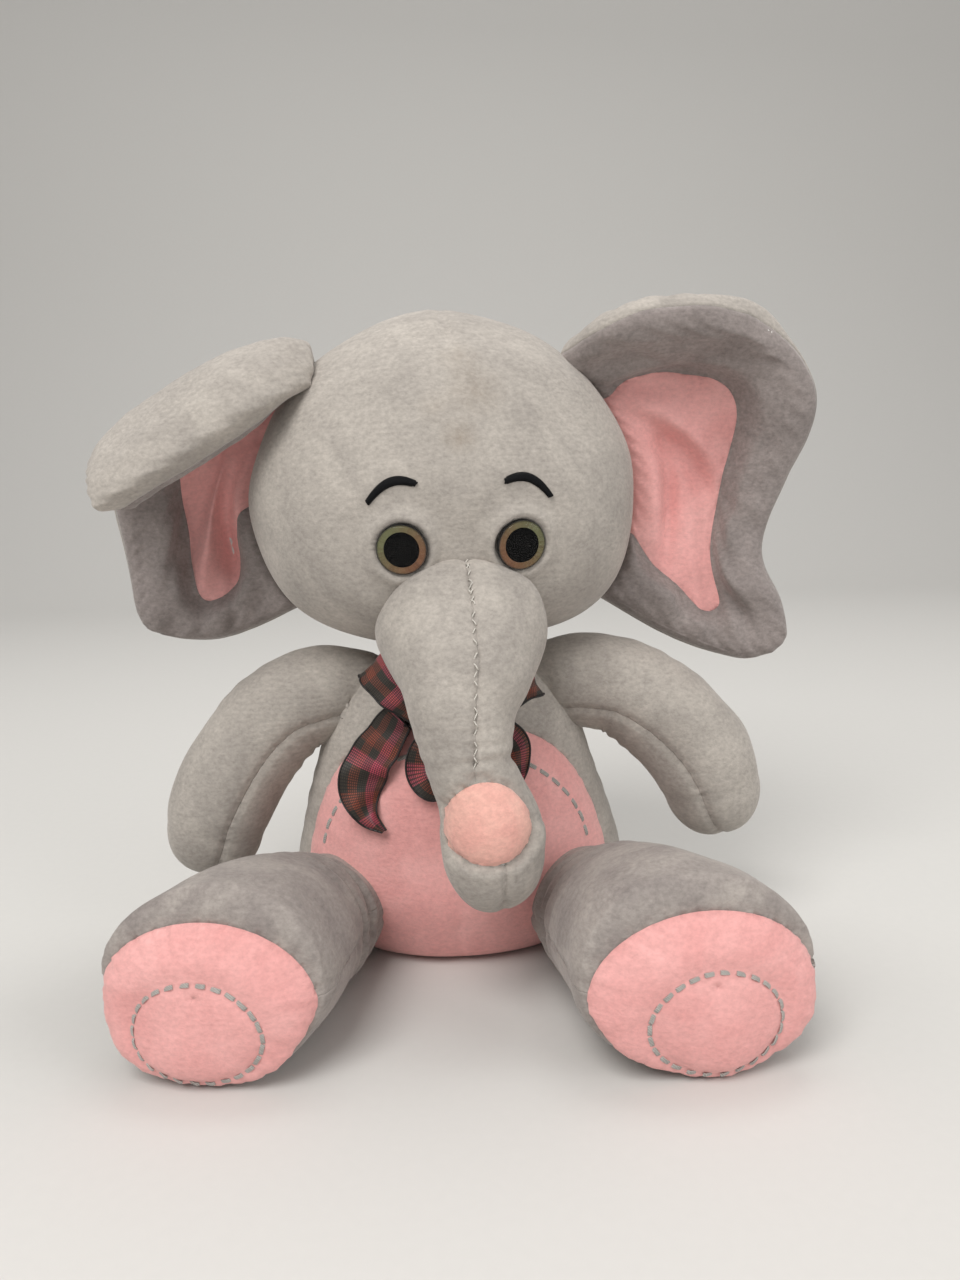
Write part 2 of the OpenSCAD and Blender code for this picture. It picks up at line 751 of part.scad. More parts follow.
// Each row runs from the root outwards, and the rows run from the bottom edge to the top edge.
// A row starts with the root's place on the head: degrees behind the side, and height as a share of
// head_h from the chin. Its other places are shares of half the head's width, depth and height from
// the head's middle.
left_ear_rows = [
    [[-2, 0.13], [1.13, 0.08, -0.98], [1.36, 0.05, -1.1], [1.6, 0.05, -1.18], [1.84, 0.08, -1.17]],
    [[0, 0.24], [1.18, 0.16, -0.73], [1.4, 0.14, -0.83], [1.61, 0.07, -0.86], [1.79, 0.03, -0.85]],
    [[1, 0.38], [1.22, 0.22, -0.4], [1.4, 0.2, -0.47], [1.58, 0.08, -0.49], [1.73, 0, -0.48]],
    [[1, 0.53], [1.24, 0.24, 0.0], [1.47, 0.22, -0.03], [1.7, 0.07, -0.04], [1.87, -0.07, -0.03]],
    [[0, 0.67], [1.2, 0.17, 0.36], [1.48, 0.15, 0.36], [1.75, 0, 0.36], [1.94, -0.14, 0.4]],
    [[-3, 0.78], [1.1, 0.03, 0.71], [1.38, -0.03, 0.75], [1.65, -0.14, 0.75], [1.84, -0.24, 0.73]],
    [[-9, 0.84], [0.93, -0.24, 0.88], [1.2, -0.34, 0.95], [1.49, -0.37, 0.94], [1.68, -0.37, 0.88]],
];
right_ear_rows = [
    [[14, 0.13], [1.07, 0.08, -0.88], [1.27, 0.05, -0.94], [1.48, 0.05, -0.93], [1.68, 0.07, -0.88]],
    [[15, 0.24], [1.12, 0.16, -0.6], [1.31, 0.14, -0.64], [1.51, 0.07, -0.65], [1.68, 0, -0.63]],
    [[16, 0.37], [1.17, 0.21, -0.3], [1.35, 0.19, -0.35], [1.53, 0.1, -0.38], [1.69, -0.03, -0.38]],
    [[16, 0.51], [1.18, 0.21, 0.05], [1.35, 0.17, -0.02], [1.53, 0.07, -0.08], [1.7, -0.1, -0.13]],
    [[15, 0.65], [1.1, 0.1, 0.37], [1.28, 0.07, 0.27], [1.49, -0.03, 0.16], [1.7, -0.2, 0.05]],
    [[11, 0.77], [0.98, -0.17, 0.58], [1.18, -0.24, 0.44], [1.43, -0.34, 0.27], [1.69, -0.44, 0.09]],
    [[3, 0.84], [0.87, -0.52, 0.6], [1.1, -0.62, 0.42], [1.38, -0.68, 0.23], [1.64, -0.69, 0.03]],
];
ear_cols = 8;
ear_rows_n = 12;
head_mid = [0, 0, head_z0 + head_h / 2];
ear_root_lift = 0.3;    // the root's first row starts here and is then cut back to clear the head

function ear_place(s, cell, j) =
    j == 0
    ? let (z = head_z0 + cell[1] * head_h, p = head_side(cell[0], z), n = head_side_normal(cell[0], z),
           q = p + n * ear_root_lift, m = [s * q[0], q[1], q[2]]) yawed(m)
    : head_mid + [s * cell[0] * head_w / 2, cell[1] * head_d / 2, cell[2] * head_h / 2];

function ear_grid(s) =
    let (rows = s > 0 ? left_ear_rows : right_ear_rows,
         places = [for (r = rows) [for (j = [0 : 4]) ear_place(s, r[j], j)]],
         fine = [for (r = places) curve_points(r, ear_cols)],
         columns = [for (j = [0 : ear_cols]) curve_points([for (r = fine) r[j]], ear_rows_n)])
    [for (i = [0 : ear_rows_n]) [for (j = [0 : ear_cols]) columns[j][i]]];

function ear_normal(g, i, j) =
    let (a = g[i][min(j + 1, ear_cols)] - g[i][max(j - 1, 0)],
         b = g[min(i + 1, ear_rows_n)][j] - g[max(i - 1, 0)][j])
    unit(cross(a, b));

// Half thickness: thin at the sewn edge and full inside
function ear_half(i, j) =
    let (u = min(1, min(j, ear_cols - j) / 1.6), v = min(1, min(i, ear_rows_n - i) / 1.6),
         f = 1 - pow(1 - min(u, v), 2))
    (ear_edge_t + (ear_t - ear_edge_t) * f) / 2;

// Cells of the front that the inner cloth covers
function ear_inner_cell(i, j) = i >= 2 && i <= 9 && j <= (i >= 5 ? 4 : 3);

// Which cells of the ear a slice takes
EVERY = 0;
INNER = 1;
RIM = -1;

// Slice of the ear between two heights over its middle surface. A height is a share of the half
// thickness (1 is the front, -1 the back) and a depth below that.
module ear_slice(s, high, low, which) {
    g = ear_grid(s);
    w = ear_cols + 1;
    n = (ear_rows_n + 1) * w;
    points = [for (side = [high, low]) for (i = [0 : ear_rows_n], j = [0 : ear_cols])
        g[i][j] + ear_normal(g, i, j) * s * side[0] * (ear_half(i, j) - side[1])];
    cell = [for (i = [-1 : ear_rows_n]) [for (j = [-1 : ear_cols])
        i >= 0 && j >= 0 && i < ear_rows_n && j < ear_cols
        && (which == EVERY || (which == INNER) == ear_inner_cell(i, j))]];
    faces = [for (i = [0 : ear_rows_n - 1], j = [0 : ear_cols - 1]) if (cell[i + 1][j + 1])
        let (a = i * w + j, b = a + 1, c = a + w + 1, d = a + w)
        each concat([[a, c, b], [a, d, c], [n + a, n + b, n + c], [n + a, n + c, n + d]],
            cell[i][j + 1] ? [] : [[a, b, n + b], [a, n + b, n + a]],
            cell[i + 1][j + 2] ? [] : [[b, c, n + c], [b, n + c, n + b]],
            cell[i + 2][j + 1] ? [] : [[c, d, n + c], [d, n + d, n + c]],
            cell[i + 1][j] ? [] : [[d, a, n + d], [a, n + a, n + d]])];
    polyhedron(points = points, convexity = 8,
               faces = s > 0 ? faces : [for (f = faces) [f[2], f[1], f[0]]]);
}

function ear_rows(s) = s > 0 ? left_ear_rows : right_ear_rows;
function ear_root(s, i) = ear_place(s, ear_rows(s)[i][0], 0);
function ear_pivot(s) = ear_root(s, 3);
function ear_axis(s) = unit(ear_root(s, 5) - ear_root(s, 1));

// The ear's sewn edge stays clear of the head as the ear flaps
module ear_part(s, high, low, which) {
    one_mesh() difference() {
        ear_slice(s, high, low, which);
        for (a = [-ear_max, 0, ear_max]) turned(ear_pivot(s), ear_axis(s), a) facing() head_body(-body_gap);
    }
}

module ear_back(s) { color(grey) ear_part(s, [-1, cloth], [-1, 0], EVERY); }
module ear_rim(s) { color(grey) ear_part(s, [1, 0], [1, cloth], RIM); }
module ear_inner(s) { color(pink) ear_part(s, [1, 0], [1, cloth], INNER); }
module ear_wadding(s) {
    color(fibre) ear_part(s, [1, cloth + fill_gap], [-1, cloth + fill_gap], EVERY);
}

// ---------- tail ----------

tail_r = 4.5;
tail_z = 0.17 * torso_h;
tail_c = [0, torso_back(tail_z) - 1.5, tail_z];
tail_len = 26;
tuft_len = 13;
tail_up = [0, 0, 1];

module tail_pocket(extra) {
    hull() {
        translate(tail_c) sphere(r = tail_r + body_gap + extra, $fn = 24);
        for (a = [-tail_max, tail_max])
            turned(tail_c, [0, 0, 1], a)
                translate(tail_c + [0, 0.4 * tail_len, -1]) sphere(r = tail_r + body_gap + extra, $fn = 24);
    }
}

tail_line = [[0, 0, 0], [0, 0.35, -0.03], [0, 0.7, -0.12], [0, 1, -0.26]];

module tail_cover() {
    color(grey) limb(rounded([for (k = [0 : 3]) [tail_c + tail_len * tail_line[k], tail_r * (1 - 0.07 * k),
                                                 tail_r * (1 - 0.07 * k)]], 1), tail_up);
}

module tail_tuft() {
    start = tail_c + tail_len * tail_line[3];
    dir = unit(tail_line[3] - tail_line[2]);
    color([0.5, 0.48, 0.47]) loft([for (k = [0 : 6])
        let (u = k / 6, r = tail_r * (0.75 + 0.55 * sin(180 * pow(u, 0.8)) - 0.6 * u * u))
        [for (i = [0 : 11]) let (a = 30 * i, x = cross(dir, tail_up))
            start + dir * (1.3 + tuft_len * u) + unit(x) * r * cos(a) + cross(dir, unit(x)) * r * sin(a)]]);
}

// ---------- ribbon ----------

knot = [6, 3.8, 5];                      // half sizes of the knot
bow_z = 0.83 * torso_h;
knot_lift = 1.2;                         // room for the stitches behind the knot
collar_r = 23;                           // radius of the ribbon round the neck
bow_c = [-2, -torso_depth(bow_z - knot[2]) - knot[1] - knot_lift, bow_z];
bunch = [1.2, 1.8];                      // half thickness and half height of the gathered ribbon

// Strip of ribbon along places [point, width], its width along the given directions
module ribbon(places, across, thick = ribbon_t) {
    n = len(places);
    loft([for (k = [0 : n - 1])
        let (t = unit(places[min(k + 1, n - 1)][0] - places[max(k - 1, 0)][0]),
             a = unit(across[k] - t * (across[k] * t)), m = cross(t, a),
             p = places[k][0], w = places[k][1] / 2, h = thick / 2)
        [p + a * w + m * h, p - a * w + m * h, p - a * w - m * h, p + a * w - m * h]]);
}

// The ribbon round the neck, from the knot's left side to its right side
module neck_ribbon() {
    k = bow_c;
    z = torso_h + 0.3 + bunch[1] + 0.2;
    half = [[knot[0] + 0.4, k[1] + 3.2, k[2] + 1.5], [11.5, k[1] + 8, k[2] + 5.6],
            [17.5, k[1] + 17, z - 5], [22, -15, z - 1], [collar_r, 0, z], [17, 16.5, z]];
    route = concat([for (p = half) [p[0] + (p[1] < -30 ? k[0] : 0), p[1], p[2]]], [[0, collar_r, z]],
                   [for (i = [5 : -1 : 0]) let (p = half[i]) [-p[0] + (p[1] < -30 ? k[0] : 0), p[1], p[2]]]);
    fine = curve_points(route, 30);
    color(plaid) loft([for (i = [0 : 30])
        let (t = unit(fine[min(i + 1, 30)] - fine[max(i - 1, 0)]), x = unit(cross(t, [0, 0, 1])),
             y = cross(t, x))
        [for (q = [0 : 7]) fine[i] + x * bunch[0] * cos(45 * q) + y * bunch[1] * sin(45 * q)]]);
}

module bow_knot() {
    color(plaid) translate(bow_c) loft([for (k = [0 : 6])
        let (u = -90 + 30 * k, w = max(cos(u), 0.35))
        [for (i = [0 : 11]) let (a = 30 * i)
            [knot[0] * (0.85 + 0.15 * w) * w * cos(a), knot[1] * w * sin(a), knot[2] * sin(u)]]]);
}

// A place in front of the torso, lifted off its surface
function on_tummy(x, z, lift) = torso_front(x, z) + torso_front_normal(x, z) * lift;

// A loop that leaves the knot, turns at its tip and comes back behind itself.
// It rises towards its tip and leans back on to the chest.
module bow_loop(side, reach, rise, back, tall) {
    k = bow_c;
    out = [[0, -1.2], [0.3, -2.4], [0.62, -3.2], [0.86, -2.8], [1, -1], [0.97, 1.4], [0.78, 2.6], [0.45, 2.4],
           [0.12, 1.4]];
    wide = [0.45, 0.72, 0.95, 1, 1, 1, 0.95, 0.72, 0.45];
    route = curve_points([for (q = out)
        k + [side * (knot[0] + 0.5 + q[0] * reach), q[1] + q[0] * back, q[0] * rise]], 20);
    widths = curve_points([for (w = wide) [w, 0]], 20);
    color(plaid) ribbon([for (i = [0 : 20]) [route[i], tall * widths[i][0]]],
                        [for (i = [0 : 20]) [-side * rise, 0, reach]]);
}

// A tail that hangs from under the knot and lies on the tummy: [x, drop, lift, width]
module bow_tail(marks) {
    k = bow_c;
    pts = concat([[k[0] + marks[0][0], k[1] + 0.6, k[2] - knot[2] - 0.6]],
                 [for (i = [1 : len(marks) - 1]) on_tummy(marks[i][0], k[2] - marks[i][1], marks[i][2])]);
    fine = curve_points(pts, 14);
    widths = curve_points([for (m = marks) [m[3], 0]], 14);
    color(plaid) ribbon([for (i = [0 : 14]) [fine[i], widths[i][0]]],
                        [for (i = [0 : 14])
                            let (p = fine[i], t = fine[min(i + 1, 14)] - fine[max(i - 1, 0)])
                            cross(torso_front_normal(p[0], p[2]), t)]);
}

right_tail = [[-4.5, 0, 0, 5], [-15, 8, 4, 10], [-24, 14, 4.5, 14], [-30, 21, 3.8, 12], [-28, 29, 3.2, 3]];
middle_tail = [[0.4, 0, 0, 4.6], [-2, 11, 4, 8], [-6, 20, 3.5, 12], [-7, 26, 3, 14], [-6, 31, 2.6, 8]];
left_tail = [[4, 0, 0, 5], [9, 9, 4, 8], [16, 14, 3.6, 12], [22, 20, 3, 12], [24, 26, 2.6, 5]];

// ---------- the pieces ----------

torso_side(1);  // torso_left_panel
torso_side(-1);  // torso_right_panel
tummy_panel();
tummy_stitches();
seat_panel();
torso_stuffing();
back_seam_thread();
neck_ribbon();
bow_knot();
bow_loop(1, 26, 9, 11, 0.66 * ribbon_w);  // bow_left_loop
bow_loop(-1, 24, 9, 13, 0.7 * ribbon_w);  // bow_right_loop
bow_tail(left_tail);  // bow_left_tail
bow_tail(right_tail);  // bow_right_tail
bow_tail(middle_tail);  // bow_middle_tail
neck_stuffing();
head_face_panel();
head_back_panel();
head_stuffing();
eyebrow(1);  // left_eyebrow
eyebrow(-1);  // right_eyebrow
eye_dome(1);  // left_eye_dome
eye_dome(-1);  // right_eye_dome
eye_iris(1);  // left_eye_iris
eye_iris(-1);  // right_eye_iris
eye_pupil(1);  // left_eye_pupil
eye_pupil(-1);  // right_eye_pupil
eye_shank(1);  // left_eye_shank
eye_shank(-1);  // right_eye_shank
eye_washers();
trunk_panel(1);  // trunk_left_panel
trunk_panel(-1);  // trunk_right_panel
trunk_tip_pad();
trunk_stuffing();
ear_back(1);  // left_ear_back
ear_rim(1);  // left_ear_rim
ear_inner(1);  // left_ear_inner
ear_wadding(1);  // left_ear_wadding
ear_back(-1);  // right_ear_back
ear_rim(-1);  // right_ear_rim
ear_inner(-1);  // right_ear_inner
ear_wadding(-1);  // right_ear_wadding
arm_panel(1, true);  // left_arm_upper_panel
arm_panel(1, false);  // left_arm_under_panel
arm_stuffing(1);  // left_arm_stuffing
arm_panel(-1, true);  // right_arm_upper_panel
arm_panel(-1, false);  // right_arm_under_panel
arm_stuffing(-1);  // right_arm_stuffing
leg_panel(1, true);  // left_leg_upper_panel
leg_panel(1, false);  // left_leg_under_panel
sole(1);  // left_sole
sole_stitches(1);  // left_sole_stitches
leg_stuffing(1);  // left_leg_stuffing
leg_panel(-1, true);  // right_leg_upper_panel
leg_panel(-1, false);  // right_leg_under_panel
sole(-1);  // right_sole
sole_stitches(-1);  // right_sole_stitches
leg_stuffing(-1);  // right_leg_stuffing
tail_cover();
tail_tuft();
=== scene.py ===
"""A sitting stuffed elephant: sewn plush covers, embroidery, safety eyes and a plaid ribbon round a fixed frame."""

import math
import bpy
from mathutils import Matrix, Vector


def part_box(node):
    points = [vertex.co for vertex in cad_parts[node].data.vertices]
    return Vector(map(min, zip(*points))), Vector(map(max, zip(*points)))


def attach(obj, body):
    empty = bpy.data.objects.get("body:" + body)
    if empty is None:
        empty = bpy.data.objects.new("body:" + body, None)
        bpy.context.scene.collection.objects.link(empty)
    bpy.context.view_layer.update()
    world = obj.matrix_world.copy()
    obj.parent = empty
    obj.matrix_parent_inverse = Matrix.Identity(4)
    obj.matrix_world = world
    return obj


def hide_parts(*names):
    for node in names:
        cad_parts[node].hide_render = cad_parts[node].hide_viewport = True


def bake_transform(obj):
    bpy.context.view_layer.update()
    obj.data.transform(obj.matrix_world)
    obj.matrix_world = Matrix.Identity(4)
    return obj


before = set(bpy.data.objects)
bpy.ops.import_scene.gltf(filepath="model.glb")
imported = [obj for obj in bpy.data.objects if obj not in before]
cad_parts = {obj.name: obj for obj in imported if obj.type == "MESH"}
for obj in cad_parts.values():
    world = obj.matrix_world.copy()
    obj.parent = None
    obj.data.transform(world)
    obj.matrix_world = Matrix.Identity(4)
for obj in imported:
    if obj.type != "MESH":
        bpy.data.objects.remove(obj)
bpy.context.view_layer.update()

from types import SimpleNamespace

import bmesh
import bpy
import numpy as np
from bpy.props import FloatProperty, FloatVectorProperty, PointerProperty
from mathutils import Matrix, Vector
from mathutils.bvhtree import BVHTree

bl_info = {
    "name": "Stuffed elephant",
    "version": (1, 0, 0),
    "blender": (4, 5, 0),
    "location": "3D View > Sidebar > Elephant",
    "description": "Builds a sitting stuffed elephant from sewn plush panels",
    "category": "Add Mesh",
}

MM = 0.001
LEFT, RIGHT = 1, -1
SIDE_NAME = {LEFT: "left", RIGHT: "right"}
GOLDEN_ANGLE = 2.39996


# ---------- sizes and colours ----------


def length_property(name, description, default):
    return FloatProperty(name=name, description=description, default=default, min=0.0, unit="LENGTH")


def colour_property(name, description, default):
    return FloatVectorProperty(
        name=name, description=description, default=default, size=3, min=0.0, max=1.0, subtype="COLOR"
    )


class ElephantSizes(bpy.types.PropertyGroup):
    """Sizes of the sewn toy."""

    head_width: length_property("Head width", "Width over the cheeks", 0.154)
    head_height: length_property("Head height", "From the chin to the crown", 0.131)
    head_depth: length_property("Head depth", "From the face to the nape", 0.118)
    torso_width: length_property("Torso width", "Width over the hips", 0.138)
    torso_height: length_property("Torso height", "From the seat to the neck", 0.113)
    torso_depth: length_property("Torso depth", "From the tummy to the back", 0.098)
    leg_radius: length_property("Leg radius", "Radius of a leg", 0.031)
    leg_length: length_property("Leg length", "From the hip to the sole", 0.092)
    ear_thickness: length_property("Ear thickness", "Thickness of an ear's padded rim", 0.0165)
    eye_size: length_property("Eye size", "Diameter of a safety eye", 0.018)
    cloth: length_property("Cloth", "Thickness of the plush with its pile", 0.0016)
    seam_depth: length_property("Seam depth", "How far a seam pulls the plush in", 0.0011)
    ribbon_width: length_property("Ribbon width", "Width of the ribbon", 0.018)
    head_turn: FloatProperty(
        name="Head turn", description="How far the head looks to its left", default=math.radians(7), subtype="ANGLE"
    )


class ElephantColours(bpy.types.PropertyGroup):
    """Colours of the cloth, thread, eyes and ribbon."""

    grey: colour_property("Grey", "Grey plush where the pile lies towards the light", (0.50, 0.46, 0.415))
    grey_shade: colour_property("Grey shade", "Grey plush where the pile lies away", (0.345, 0.315, 0.288))
    ear_grey: colour_property("Ear grey", "Grey plush on the ears' fronts and the legs", (0.315, 0.275, 0.262))
    pink: colour_property("Pink", "Pink plush", (0.86, 0.46, 0.44))
    pink_shade: colour_property("Pink shade", "Pink plush where the pile lies away", (0.76, 0.36, 0.345))
    thread: colour_property("Thread", "Grey satin thread", (0.40, 0.385, 0.36))
    iris_olive: colour_property("Iris olive", "Outer side of the iris", (0.16, 0.165, 0.075))
    iris_brown: colour_property("Iris brown", "Inner side of the iris", (0.22, 0.095, 0.045))
    plaid_olive: colour_property("Plaid olive", "Dark bands of the ribbon", (0.022, 0.017, 0.010))
    plaid_rust: colour_property("Plaid rust", "Rust bands of the ribbon", (0.20, 0.040, 0.016))
    plaid_pink: colour_property("Plaid pink", "Pink bands of the ribbon", (0.42, 0.055, 0.095))
    floor: colour_property("Floor", "Floor and backdrop", (0.67, 0.66, 0.64))


def sizes():
    """The sizes in millimetres."""
    held = bpy.context.scene.elephant_sizes
    lengths = {name: getattr(held, name) / MM for name in ElephantSizes.__annotations__ if name != "head_turn"}
    return SimpleNamespace(turn=held.head_turn, **lengths)


def colour(name):
    return (*getattr(bpy.context.scene.elephant_colours, name), 1.0)


# ---------- shapes ----------


def unit(v):
    v = np.asarray(v, float)
    return v / np.maximum(np.linalg.norm(v, axis=-1, keepdims=True), 1e-12)


def curve(marks, t):
    """Smooth curve through marks, at t from 0 to 1."""
    marks = np.asarray(marks, float)
    last = len(marks) - 1
    t = np.clip(np.asarray(t, float), 0, 1) * last
    i = np.minimum(t.astype(int), last - 1)
    u = (t - i).reshape(t.shape + (1,) * (marks.ndim - 1))
    a, b, c, d = (marks[np.clip(i + k, 0, last)] for k in (-1, 0, 1, 2))
    return 0.5 * (2 * b + (c - a) * u + (2 * a - 5 * b + 4 * c - d) * u**2 + (3 * b - a - 3 * c + d) * u**3)


def lumps(points, size, seed):
    """Soft unevenness of a stuffed surface, about -1 to 1."""
    rng = np.random.default_rng(seed)
    total = np.zeros(len(points))
    for _ in range(14):
        wave = unit(rng.normal(size=3)) * 2 * math.pi / (size * rng.uniform(0.7, 1.5))
        total += np.sin(points[:, :3] @ wave + rng.uniform(0, 2 * math.pi))
    return total / 5


def grid_faces(rows, columns, wrap=False):
    """Quads of a grid of points, closed round each row if wrap."""
    r = np.arange(rows - 1)[:, None] * columns
    c = np.arange(columns if wrap else columns - 1)[None, :]
    n = (c + 1) % columns
    return np.stack([r + c, r + n, r + columns + n, r + columns + c], -1).reshape(-1, 4).tolist()


def normals_of(points, faces):
    """Outward normals. Points in the same place share one."""
    quads = np.array([(f + f[-1:])[:4] for f in faces])
    p = points[:, :3]
    across = np.cross(p[quads[:, 2]] - p[quads[:, 0]], p[quads[:, 3]] - p[quads[:, 1]])
    _, place = np.unique(np.round(p, 4), axis=0, return_inverse=True)
    place = place.reshape(-1)
    total = np.zeros((place.max() + 1, 3))
    for k in range(4):
        np.add.at(total, place[quads[:, k]], across)
    return unit(total)[place]


def cut(points, faces, value):
    """Splits faces where a column of points is 0: (points with the new ones, faces above, faces below)."""
    v = points[:, value].tolist()
    new, made, above, below = [], {}, [], []

    def crossing(i, j):
        i, j = min(i, j), max(i, j)
        if (i, j) not in made:
            t = v[i] / (v[i] - v[j])
            made[i, j] = len(points) + len(new)
            new.append(points[i] * (1 - t) + points[j] * t)
        return made[i, j]

    for face in faces:
        signs = [v[i] > 0 for i in face]
        if all(signs):
            above.append(face)
        elif not any(signs):
            below.append(face)
        else:
            one, other = [], []
            for i, j in zip(face, face[1:] + face[:1]):
                (one if v[i] > 0 else other).append(i)
                if (v[i] > 0) != (v[j] > 0):
                    x = crossing(i, j)
                    one.append(x)
                    other.append(x)
            above.append(one)
            below.append(other)
    grown = np.vstack([points, new]) if new else points
    grown[:, value] = np.where(np.arange(len(grown)) >= len(points), 0.0, grown[:, value])
    return grown, above, below


def thick_panel(points, faces, depth):
    """A panel of cloth with an outside, an inside and an edge all round. Columns 3 to 5 hold the normals."""
    used = np.unique(np.concatenate([np.asarray(f) for f in faces]))
    place = {old: new for new, old in enumerate(used.tolist())}
    outer = points[used, :3]
    inner = outer - unit(points[used, 3:6]) * depth
    faces = [[place[i] for i in f] for f in faces]
    n = len(used)
    edges = {(i, j) for f in faces for i, j in zip(f, f[1:] + f[:1])}
    rim = [[j, i, i + n, j + n] for i, j in edges if (j, i) not in edges and (outer[i] != outer[j]).any()]
    return np.vstack([outer, inner]), faces + [[i + n for i in reversed(f)] for f in faces] + rim


def tube(path, radius, sides=8):
    """A round closed strand along a path, radius one number or one for each point."""
    path = np.asarray(path, float)
    n = len(path)
    radius = np.broadcast_to(radius, n)
    along = unit(np.gradient(path, axis=0))
    ref = np.array([0.0, 0.0, 1.0]) if abs(along[:, 2]).max() < 0.9 else np.array([0.91, 0.41, 0.05])
    a = unit(np.cross(along, ref))
    b = np.cross(along, a)
    ring = np.arange(sides) * 2 * math.pi / sides
    points = path[:, None] + radius[:, None, None] * (
        a[:, None] * np.cos(ring)[None, :, None] + b[:, None] * np.sin(ring)[None, :, None]
    )
    first_tip, last_tip = path[:1] - along[:1] * radius[0] * 0.5, path[-1:] + along[-1:] * radius[-1] * 0.5
    points = np.vstack([points.reshape(-1, 3), first_tip, last_tip])
    faces = grid_faces(n, sides, True)
    first, last = n * sides, n * sides + 1
    faces += [[first, (i + 1) % sides, i] for i in range(sides)]
    faces += [[last, (n - 1) * sides + i, (n - 1) * sides + (i + 1) % sides] for i in range(sides)]
    return points, faces


def merged(parts):
    points, faces, start = [], [], 0
    for p, f in parts:
        points.append(p)
        faces += [[i + start for i in face] for face in f]
        start += len(p)
    return np.vstack(points), faces


def turned(points, angle):
    """Turned about the upright axis through the neck."""
    c, s = math.cos(angle), math.sin(angle)
    out = np.array(points, float)
    out[..., 0], out[..., 1] = points[..., 0] * c - points[..., 1] * s, points[..., 0] * s + points[..., 1] * c
    return out


def normal_on(front, x, z):
    """Outward normal of a surface given as front(x, z)."""
    e = 1.5
    across = front(x + e, z) - front(x - e, z)
    up = front(x, z + e) - front(x, z - e)
    return unit(np.cross(across, up))

# ---------- pieces ----------


def make_piece(name, points, faces, material, strip=None):
    """A mesh object from points in millimetres. strip holds each point's place on a ribbon, as a UV map."""
    mesh = bpy.data.meshes.new(name)
    mesh.from_pydata((np.asarray(points)[:, :3] * MM).tolist(), [], faces)
    if strip is not None:
        layer = mesh.uv_layers.new(name="strip")
        corner = np.zeros(len(mesh.loops), np.int32)
        mesh.loops.foreach_get("vertex_index", corner)
        layer.data.foreach_set("uv", np.asarray(strip, np.float32)[corner].ravel())
    bm = bmesh.new()
    bm.from_mesh(mesh)
    bmesh.ops.remove_doubles(bm, verts=bm.verts, dist=2e-6)
    bmesh.ops.dissolve_degenerate(bm, edges=bm.edges, dist=1e-6)
    bmesh.ops.recalc_face_normals(bm, faces=bm.faces)
    bm.to_mesh(mesh)
    bm.free()
    mesh.polygons.foreach_set("use_smooth", [True] * len(mesh.polygons))
    mesh.materials.append(material)
    piece = bpy.data.objects.new(name, mesh)
    bpy.context.scene.collection.objects.link(piece)
    return piece


def hold(piece, where, replaces=None):
    """Ties a piece to its body, or across the joint between two: where is a body or (a, b, start, end)."""
    if isinstance(where, str):
        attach(piece, where)
    else:
        a, b, start, end = where
        tuple(np.asarray(start) * MM)
        tuple(np.asarray(end) * MM)
        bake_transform(piece)
    if replaces:
        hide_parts(*([replaces] if isinstance(replaces, str) else replaces))


def sew(node, points, faces, material, where, depth=None):
    """A panel of plush that stands for the CAD node of the same name."""
    shell = thick_panel(points, faces, depth or sizes().cloth)
    piece = make_piece(f"{node}_plush", *shell, material)
    hold(piece, where, node)


def seam_pull(distance, along, depth, seed=0):
    """How far a seam pulls the cloth in: a groove with small puckers across it."""
    phase = seed * 1.7
    gathers = 0.5 * np.sin(along * 2 * math.pi / 6.1 + phase) + 0.5 * np.sin(along * 2 * math.pi / 3.7 + 2 * phase)
    groove = np.exp(-((distance / 1.5) ** 2)) * depth * (1 + 0.22 * gathers)
    soft = np.exp(-((distance / 6.0) ** 2)) * depth * 0.45
    pucker = np.exp(-((distance / 4.2) ** 2)) * gathers * 0.16 * depth
    return groove + soft + pucker


def push(points, faces, amount):
    """Moves points out along their normals and adds the new normals as columns 3 to 5."""
    moved = points.copy()
    moved[:, :3] += normals_of(points, faces) * np.asarray(amount)[:, None]
    return np.hstack([moved[:, :3], normals_of(moved, faces)])


def surface_of(*names):
    """A function that finds where a line into the named pieces first meets them."""
    parts = []
    for name in names:
        mesh = bpy.data.objects[name].data
        places = np.empty(len(mesh.vertices) * 3)
        mesh.vertices.foreach_get("co", places)
        parts.append((places.reshape(-1, 3) / MM, [list(face.vertices) for face in mesh.polygons]))
    points, faces = merged(parts)
    tree = BVHTree.FromPolygons(points.tolist(), faces)

    def meet(place, facing):
        facing = unit(facing)
        hit = tree.ray_cast(Vector(place + facing * 18), Vector(-facing), 36)[0]
        return np.array(hit or tree.find_nearest(Vector(place))[0])

    return meet


# ---------- torso ----------

TORSO_LINE = [
    (0.54, 0.004), (0.70, 0.0), (0.83, 0.018), (0.93, 0.09), (1.0, 0.25), (0.93, 0.44), (0.825, 0.64),
    (0.72, 0.82), (0.62, 0.92), (0.50, 0.985), (0.37, 1.035), (0.33, 1.10),
]
TORSO_PROFILE = [
    (0, 0.72), (0.03, 0.86), (0.11, 0.96), (0.25, 1), (0.44, 0.93), (0.64, 0.825), (0.82, 0.72), (0.92, 0.61),
    (0.975, 0.48), (1, 0.33),
]
BACK_SHARE = 0.9


def torso_half(z):
    s = sizes()
    return np.interp(z / s.torso_height, *zip(*TORSO_PROFILE)) * s.torso_width / 2


def torso_depth_at(half, z):
    s = sizes()
    return half * (s.torso_depth / s.torso_width) * (1.02 + 0.26 * z / s.torso_height)


def torso_front(x, z):
    """A place on the front of the torso."""
    half = torso_half(z)
    return np.stack([x, -torso_depth_at(half, z) * np.sqrt(np.maximum(0, 1 - (x / half) ** 2)), z], -1)



